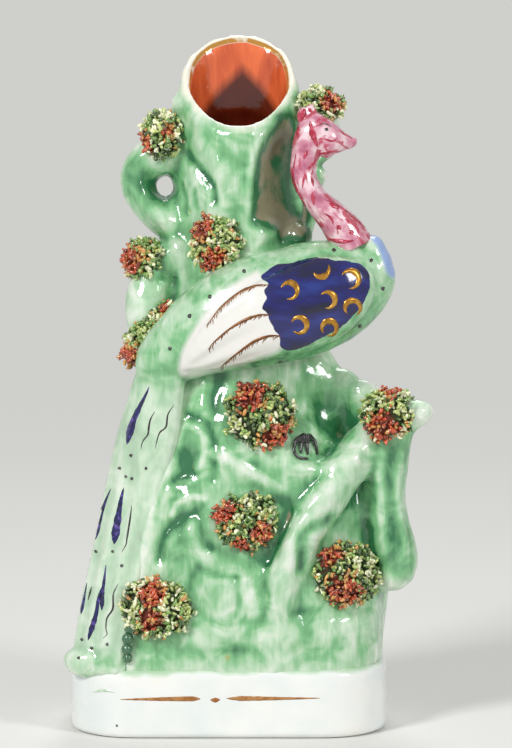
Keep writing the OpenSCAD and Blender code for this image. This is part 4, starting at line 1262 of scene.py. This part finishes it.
def heap_of_shreds(name, neighbours, rng):
    """Bmesh of the bent shreds of one tuft, with the colour of each."""
    data = frame["nodes"][name].data
    faces = bare_faces(name, neighbours)
    areas = [face.area for face in faces]
    low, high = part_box(name)
    middle = (low + high) / 2
    bright = PALE_LIFT if name in PALE_TUFTS else PLAIN_LIFT
    clay = bmesh.new()
    clay.verts.layers.float_color.new("leaf_colour")
    for batch in range(0, sizes().shreds, BATCH):
        few = bmesh.new()
        layer = few.verts.layers.float_color.new("leaf_colour")
        for face in rng.choices(faces, areas, k=min(BATCH, sizes().shreds - batch)):
            a, b, c = (data.vertices[i].co for i in face.vertices[:3])
            s, t = sorted((rng.random(), rng.random()))
            spot = a * s + b * (t - s) + c * (1 - t)
            way = (spot - middle).normalized()
            depth = rng.random()
            stray = Vector([rng.gauss(0, 0.8) for _ in range(3)])
            lean = (face.normal * 0.4 + way * 0.5 + stray).normalized()
            thick = sizes().shred * rng.uniform(0.75, 1.25) / 2
            long = thick * rng.uniform(1.2, 2.4)
            turn = lean.to_track_quat("Z", "Y").to_matrix().to_4x4()
            sunk = spot - way * (1.3 - 1.5 * depth) * MM
            body = Matrix.Translation(sunk) @ turn @ Matrix.Diagonal((thick, thick, long, 1.0))
            made = bmesh.ops.create_uvsphere(few, u_segments=6, v_segments=5, radius=1.0, matrix=body)
            bend = Vector([rng.gauss(0, 1) for _ in range(3)]).cross(lean).normalized() * thick * 0.8
            # Shreds deep in the heap are painted darker, as shade, and those near the top lighter
            paint = shred_colour(sunk, rng, 0.3 * (depth - 0.5) + bright)
            for vert in made["verts"]:
                reach = (vert.co - sunk).dot(lean) / long
                vert.co += bend * reach * reach
                vert[layer] = paint
        join(clay, few)
    return clay


def clay_stem(clay):
    """Adds the twisted stem under the foot tuft, as beads on the tree and the train."""
    layer = clay.verts.layers.float_color["leaf_colour"]
    grounds = [surface_of(bpy.data.objects[name]) for name in ("glazed_tree", "peacock")]
    for u, v, radius in STEM_BEADS:
        hits = [hit for hit in (onto(ground, (u, v)) for ground in grounds) if hit is not None]
        point, normal = min(hits, key=lambda hit: hit[0].y)
        for vert in ball(clay, point + normal * 0.5 * MM, radius * MM):
            vert[layer] = colour(STEM_GREEN)


class VASE_OT_tufts(bpy.types.Operator):
    """Tufts of clay pushed through a sieve, one piece for each seat"""

    bl_idname = "vase.tufts"
    bl_label = "Tufts"

    def execute(self, context):
        material = tuft_glaze()
        around = clay_of([name for name in frame["nodes"] if name not in TUFT_NODES], 0.0)
        neighbours = BVHTree.FromBMesh(around)
        around.free()
        for order, name in enumerate(TUFT_NODES):
            rng = random.Random(sizes().seed * 100 + order)
            clay = heap_of_shreds(name, neighbours, rng)
            if name == "tuft_left_foot":
                clay_stem(clay)
            core = clay_of((name,), -CORE_SUNK * MM)
            for _ in range(2):
                bmesh.ops.smooth_vert(
                    core, verts=core.verts, factor=0.5, use_axis_x=True, use_axis_y=True, use_axis_z=True)
            # The clay between the shreds is coloured dark, as painted shade in the gaps
            layer = core.verts.layers.float_color.new("leaf_colour")
            for vert, spot in zip(core.verts, front_view([vert.co for vert in core.verts])):
                vert[layer] = (*linear(CORE_RED_SHADE if redness(spot) > 0 else CORE_GREEN_SHADE), CORE_GLOSS)
            join(clay, core)
            ride(new_piece("sieved_" + name, clay), material, "leaf_tuft", name)
        return {"FINISHED"}


# Paint


def settle(clay, skin, spots):
    """Drops points on a surface from the front, each to its spot and lift, and cuts off those that miss."""
    lost = []
    for vert, spot, lift in spots:
        landed = onto(skin, spot)
        if landed is None:
            lost.append(vert)
        else:
            vert.co = landed[0] + landed[1] * lift
    bmesh.ops.delete(clay, geom=lost, context="VERTS")


def brush(clay, skin, path, width, belly, lift):
    """Lays one brush stroke on a surface: a grid of three columns, cast from the front."""
    track = flowing(path, 0.45)
    rows = len(track) - 1
    made = bmesh.ops.create_grid(clay, x_segments=2, y_segments=rows, size=1.0)
    cells = {}
    for vert in made["verts"]:
        cells[(round(vert.co.x) + 1, round((vert.co.y + 1) / 2 * rows))] = vert
    spots = []
    for (column, row), vert in cells.items():
        here = Vector(track[row])
        ahead = Vector(track[min(row + 1, rows)]) - Vector(track[max(row - 1, 0)])
        side = Vector((-ahead.y, ahead.x)).normalized()
        t = row / rows
        swell = (t / belly if t < belly else (1 - t) / (1 - belly)) ** 0.7
        wobble = 0.9 + 0.2 * noise.noise(Vector((here.x, here.y, 0.0)) * 0.6)
        spot = here + side * (column - 1) * (0.04 + 0.5 * width * swell * wobble)
        spots.append((vert, spot, lift * (1.0 if column == 1 else 0.55)))
    settle(clay, skin, spots)


def dab(clay, skin, spot, radius, lift, rng):
    """Lays one round dab on a surface."""
    made = bmesh.ops.create_circle(clay, cap_ends=True, cap_tris=True, segments=12, radius=1.0)
    spots = []
    for vert in made["verts"]:
        out = Vector((vert.co.x, vert.co.y)) * radius * rng.uniform(0.8, 1.2)
        spots.append((vert, Vector(spot) + out, lift))
    settle(clay, skin, spots)


def painted(name, clay, material, slot):
    """Turns strokes to face out of the glaze, thickens them down into it and makes them a piece."""
    clay.normal_update()
    wrong = [face for face in clay.faces if face.normal.dot(LOOK) > 0]
    bmesh.ops.reverse_faces(clay, faces=wrong)
    bmesh.ops.solidify(clay, geom=clay.faces[:], thickness=2.0 * sizes().paint)
    ride(new_piece(name, clay), material, slot)


def strokes_on(skin, rows, lift):
    """Brush strokes on a surface, each by its path, its width and where along it is widest."""
    clay = bmesh.new()
    for path, width, belly in rows:
        brush(clay, skin, path, width, belly, lift)
    return clay


def crescent(u, v, radius, start, turn):
    """Path, width and widest place of one crescent on the wing."""
    angles = [math.radians(start + turn * k / 10) for k in range(11)]
    return [(u + radius * math.cos(angle), v + radius * math.sin(angle)) for angle in angles], 2.2, 0.42


def quill_marks(skin, rng, lift):
    """Quills on a surface, each a shaft with short barbs along one side."""
    clay = bmesh.new()
    for path, width in QUILLS:
        brush(clay, skin, path, width, 0.3, lift)
        shaft = flowing(path, 0.9)
        for here, ahead in zip(shaft[1:], shaft[2:]):
            barb = ahead - here
            barb.rotate(Matrix.Rotation(math.radians(rng.uniform(25, 50)), 2))
            start = here + barb * rng.uniform(-0.5, 0.5)
            end = start + barb.normalized() * rng.uniform(0.9, 1.9)
            brush(clay, skin, (start, end), 0.3, 0.2, lift)
    return clay


class VASE_OT_paint(bpy.types.Operator):
    """Gilding, cobalt dashes, quills, crimson marks, hair lines and spots laid over the glaze"""

    bl_idname = "vase.paint"
    bl_label = "Brush strokes"

    def execute(self, context):
        rng = random.Random(sizes().seed)
        lift = sizes().paint
        bird, plinth, neck = (surface_of(bpy.data.objects[name]) for name in (
            "peacock", "glazed_plinth", "peacock_neck_and_head"))
        gilt = enamel("worn_gilding", ((0.32, "#8F6424"), (0.55, "gilt"), (0.75, "#DDB460")), 0.0022,
                      {"Metallic": 0.7})
        quill = enamel("brown_gilding", ((0.35, "#6E4220"), (0.65, "quill")), 0.0014, {"Metallic": 0.25})
        cobalt = enamel("cobalt_enamel", ((0.34, "blue_dark"), (0.56, "blue"), (0.74, "#7A5CB0")), 0.0018,
                        GLOSSY)
        crimson = enamel("crimson_enamel", ((0.34, "#8E1230"), (0.5, "crimson"), (0.72, "#D0607C")), 0.0016,
                         GLOSSY)
        black = enamel("black_enamel", ((0.35, "black"), (0.75, "#4A4A46")), 0.0012, GLOSSY)
        thin = enamel("thin_gilding", ((0.35, "#A0652F"), (0.65, "#C08C55")), 0.0022, {"Metallic": 0.2})
        green = enamel("green_smear", ((0.35, "green_pale"), (0.65, "#DDE9DA")), 0.0016, GLOSSY)
        marks = strokes_on(bird, [crescent(*row) for row in CRESCENTS], lift)
        painted("wing_crescents", marks, gilt, "wing_blue")
        painted("plinth_gilding", strokes_on(plinth, PLINTH_STROKES, lift), thin, "white_glaze")
        painted("plinth_smear", strokes_on(plinth, (PLINTH_SMEAR,), lift * 0.5), green, "white_glaze")
        painted("wing_quills", quill_marks(bird, rng, lift), quill, "bird_green")
        marks = strokes_on(bird, [(*row, 0.82) for row in TAIL_DASHES], lift)
        painted("train_dashes", marks, cobalt, "wing_blue")
        marks = strokes_on(neck, [(*row, 0.45) for row in NECK_STROKES], lift)
        painted("neck_strokes", marks, crimson, "neck_pink")
        marks = strokes_on(bird, [(path, 0.6, 0.4) for path in TAIL_HAIRS], lift)
        for skin, spots, radius in ((bird, BODY_SPOTS, 0.62), (bird, TAIL_SPOTS, 0.5),
                                    (plinth, (PLINTH_SPOT,), 0.35)):
            for spot in spots:
                dab(marks, skin, spot, radius, lift, rng)
        painted("bird_spots", marks, black, "claw_black")
        marks = bmesh.new()
        dab(marks, neck, PUPIL, 0.5, lift * 1.5, rng)
        brush(marks, neck, EYELID, 0.35, 0.5, lift * 1.5)
        painted("peacock_eye", marks, black, "claw_black")
        return {"FINISHED"}


# Stage


def studio_rays(tree):
    """One for the rays that see the pale studio: the camera's, and those in gloss and glass."""
    path = add(tree, "LightPath")
    rays = path.outputs["Is Camera Ray"]
    for kind in ("Is Glossy Ray", "Is Transmission Ray"):
        rays = add(tree, "Math", {"operation": "MAXIMUM"}, {0: rays, 1: path.outputs[kind]}, out="Value")
    return rays


def paper_floor():
    """Pale paper that fades into the air far from the vase, but lights the vase no more for it."""
    clay = bmesh.new()
    bmesh.ops.create_grid(clay, x_segments=8, y_segments=8, size=9.0)
    floor = new_piece("studio_floor", clay)
    material, tree, output, here = new_material("studio_paper")
    fibre = add(tree, "TexNoise", {"Scale": 1 / 0.004, "Detail": 3.0}, {"Vector": here}, out="Fac")
    normal = add(tree, "Bump", {"Distance": 0.0002, "Strength": 0.1}, {"Height": fibre}, out="Normal")
    paper = add(tree, "BsdfPrincipled", {"Base Color": "floor", "Roughness": 0.7}, {"Normal": normal},
                out="BSDF")
    haze = add(tree, "Emission", {"Color": "air", "Strength": 1.0}, out="Emission")
    far = add(tree, "VectorMath", {"operation": "LENGTH"}, {0: here}, out="Value")
    far = add(tree, "MapRange", {"From Min": 0.16, "From Max": 0.95, "interpolation_type": "SMOOTHSTEP"},
              {"Value": far}, out="Result")
    far = add(tree, "Math", {"operation": "MULTIPLY"}, {0: far, 1: studio_rays(tree)}, out="Value")
    both = add(tree, "MixShader", None, {0: far, 1: paper, 2: haze}, out="Shader")
    tree.links.new(both, output.inputs["Surface"])
    floor.data.materials.append(material)
    return floor


def hang_lamps(scene):
    """Soft boxes at both front corners and above, turned to the vase."""
    for name, place, side, watts in LAMPS:
        lamp = bpy.data.lights.new(name, "AREA")
        lamp.shape = "SQUARE"
        lamp.size = side
        lamp.energy = watts
        holder = bpy.data.objects.new(name, lamp)
        holder.location = place
        way = LAMP_AIM - Vector(place)
        holder.rotation_euler = way.to_track_quat("-Z", "Y").to_euler()
        scene.collection.objects.link(holder)


def fill_air(scene):
    """Dim air that lights the vase, shown pale."""
    world = bpy.data.worlds.new("studio_air")
    world.use_nodes = True
    tree = world.node_tree
    tree.nodes.clear()
    soft = add(tree, "Background", {"Color": (0.9, 0.92, 0.95, 1.0), "Strength": 0.3}, out="Background")
    pale = add(tree, "Background", {"Color": "air", "Strength": 1.0}, out="Background")
    both = add(tree, "MixShader", None, {0: studio_rays(tree), 1: soft, 2: pale}, out="Shader")
    sky = add(tree, "OutputWorld")
    tree.links.new(both, sky.inputs["Surface"])
    scene.world = world


def set_camera(scene):
    """Camera at the photo's place, tilted down a little as it is there."""
    lens = bpy.data.cameras.new("camera")
    lens.sensor_width = FILM_WIDTH
    lens.lens = FILM_WIDTH * VIEW_DISTANCE / VIEW_HEIGHT
    lens.clip_start = 0.1
    lens.clip_end = 20.0
    camera = bpy.data.objects.new("camera", lens)
    camera.location = EYE * MM
    camera.rotation_euler = (math.pi / 2 - VIEW_TILT, 0.0, 0.0)
    scene.collection.objects.link(camera)
    scene.camera = camera


class VASE_OT_stage(bpy.types.Operator):
    """Pale floor, soft lamps and the camera"""

    bl_idname = "vase.stage"
    bl_label = "Stage"

    def execute(self, context):
        scene = context.scene
        scene.view_settings.view_transform = "Standard"
        floor = paper_floor()
        hang_lamps(scene)
        fill_air(scene)
        set_camera(scene)
        return {"FINISHED"}


OPERATORS = (
    VASE_OT_stage, VASE_OT_plinth, VASE_OT_tree, VASE_OT_bird, VASE_OT_neck, VASE_OT_claw, VASE_OT_tufts,
    VASE_OT_paint,
)


class VASE_PT_panel(bpy.types.Panel):
    """Sidebar panel with the vase's sizes, colours and pieces"""

    bl_label = "Spill vase"
    bl_idname = "VASE_PT_panel"
    bl_space_type = "VIEW_3D"
    bl_region_type = "UI"
    bl_category = "Vase"

    def draw(self, context):
        layout = self.layout
        for group in (context.scene.vase_sizes, context.scene.vase_colours):
            box = layout.box()
            for name in group.__annotations__:
                box.prop(group, name)
        for operator in OPERATORS:
            layout.operator(operator.bl_idname)


CLASSES = (VASE_PG_sizes, VASE_PG_colours, *OPERATORS, VASE_PT_panel)


def register():
    """Registers the classes and puts the settings on the scene."""
    for item in CLASSES:
        bpy.utils.register_class(item)
    bpy.types.Scene.vase_sizes = PointerProperty(type=VASE_PG_sizes)
    bpy.types.Scene.vase_colours = PointerProperty(type=VASE_PG_colours)


def unregister():
    """Takes the settings and the classes away again."""
    del bpy.types.Scene.vase_colours
    del bpy.types.Scene.vase_sizes
    for item in reversed(CLASSES):
        bpy.utils.unregister_class(item)


def main():
    """Builds every piece in order."""
    register()
    bpy.ops.vase.stage()
    bpy.ops.vase.plinth()
    bpy.ops.vase.tree()
    bpy.ops.vase.bird()
    bpy.ops.vase.neck()
    bpy.ops.vase.claw()
    bpy.ops.vase.tufts()
    bpy.ops.vase.paint()


if __name__ == "__main__":
    main()
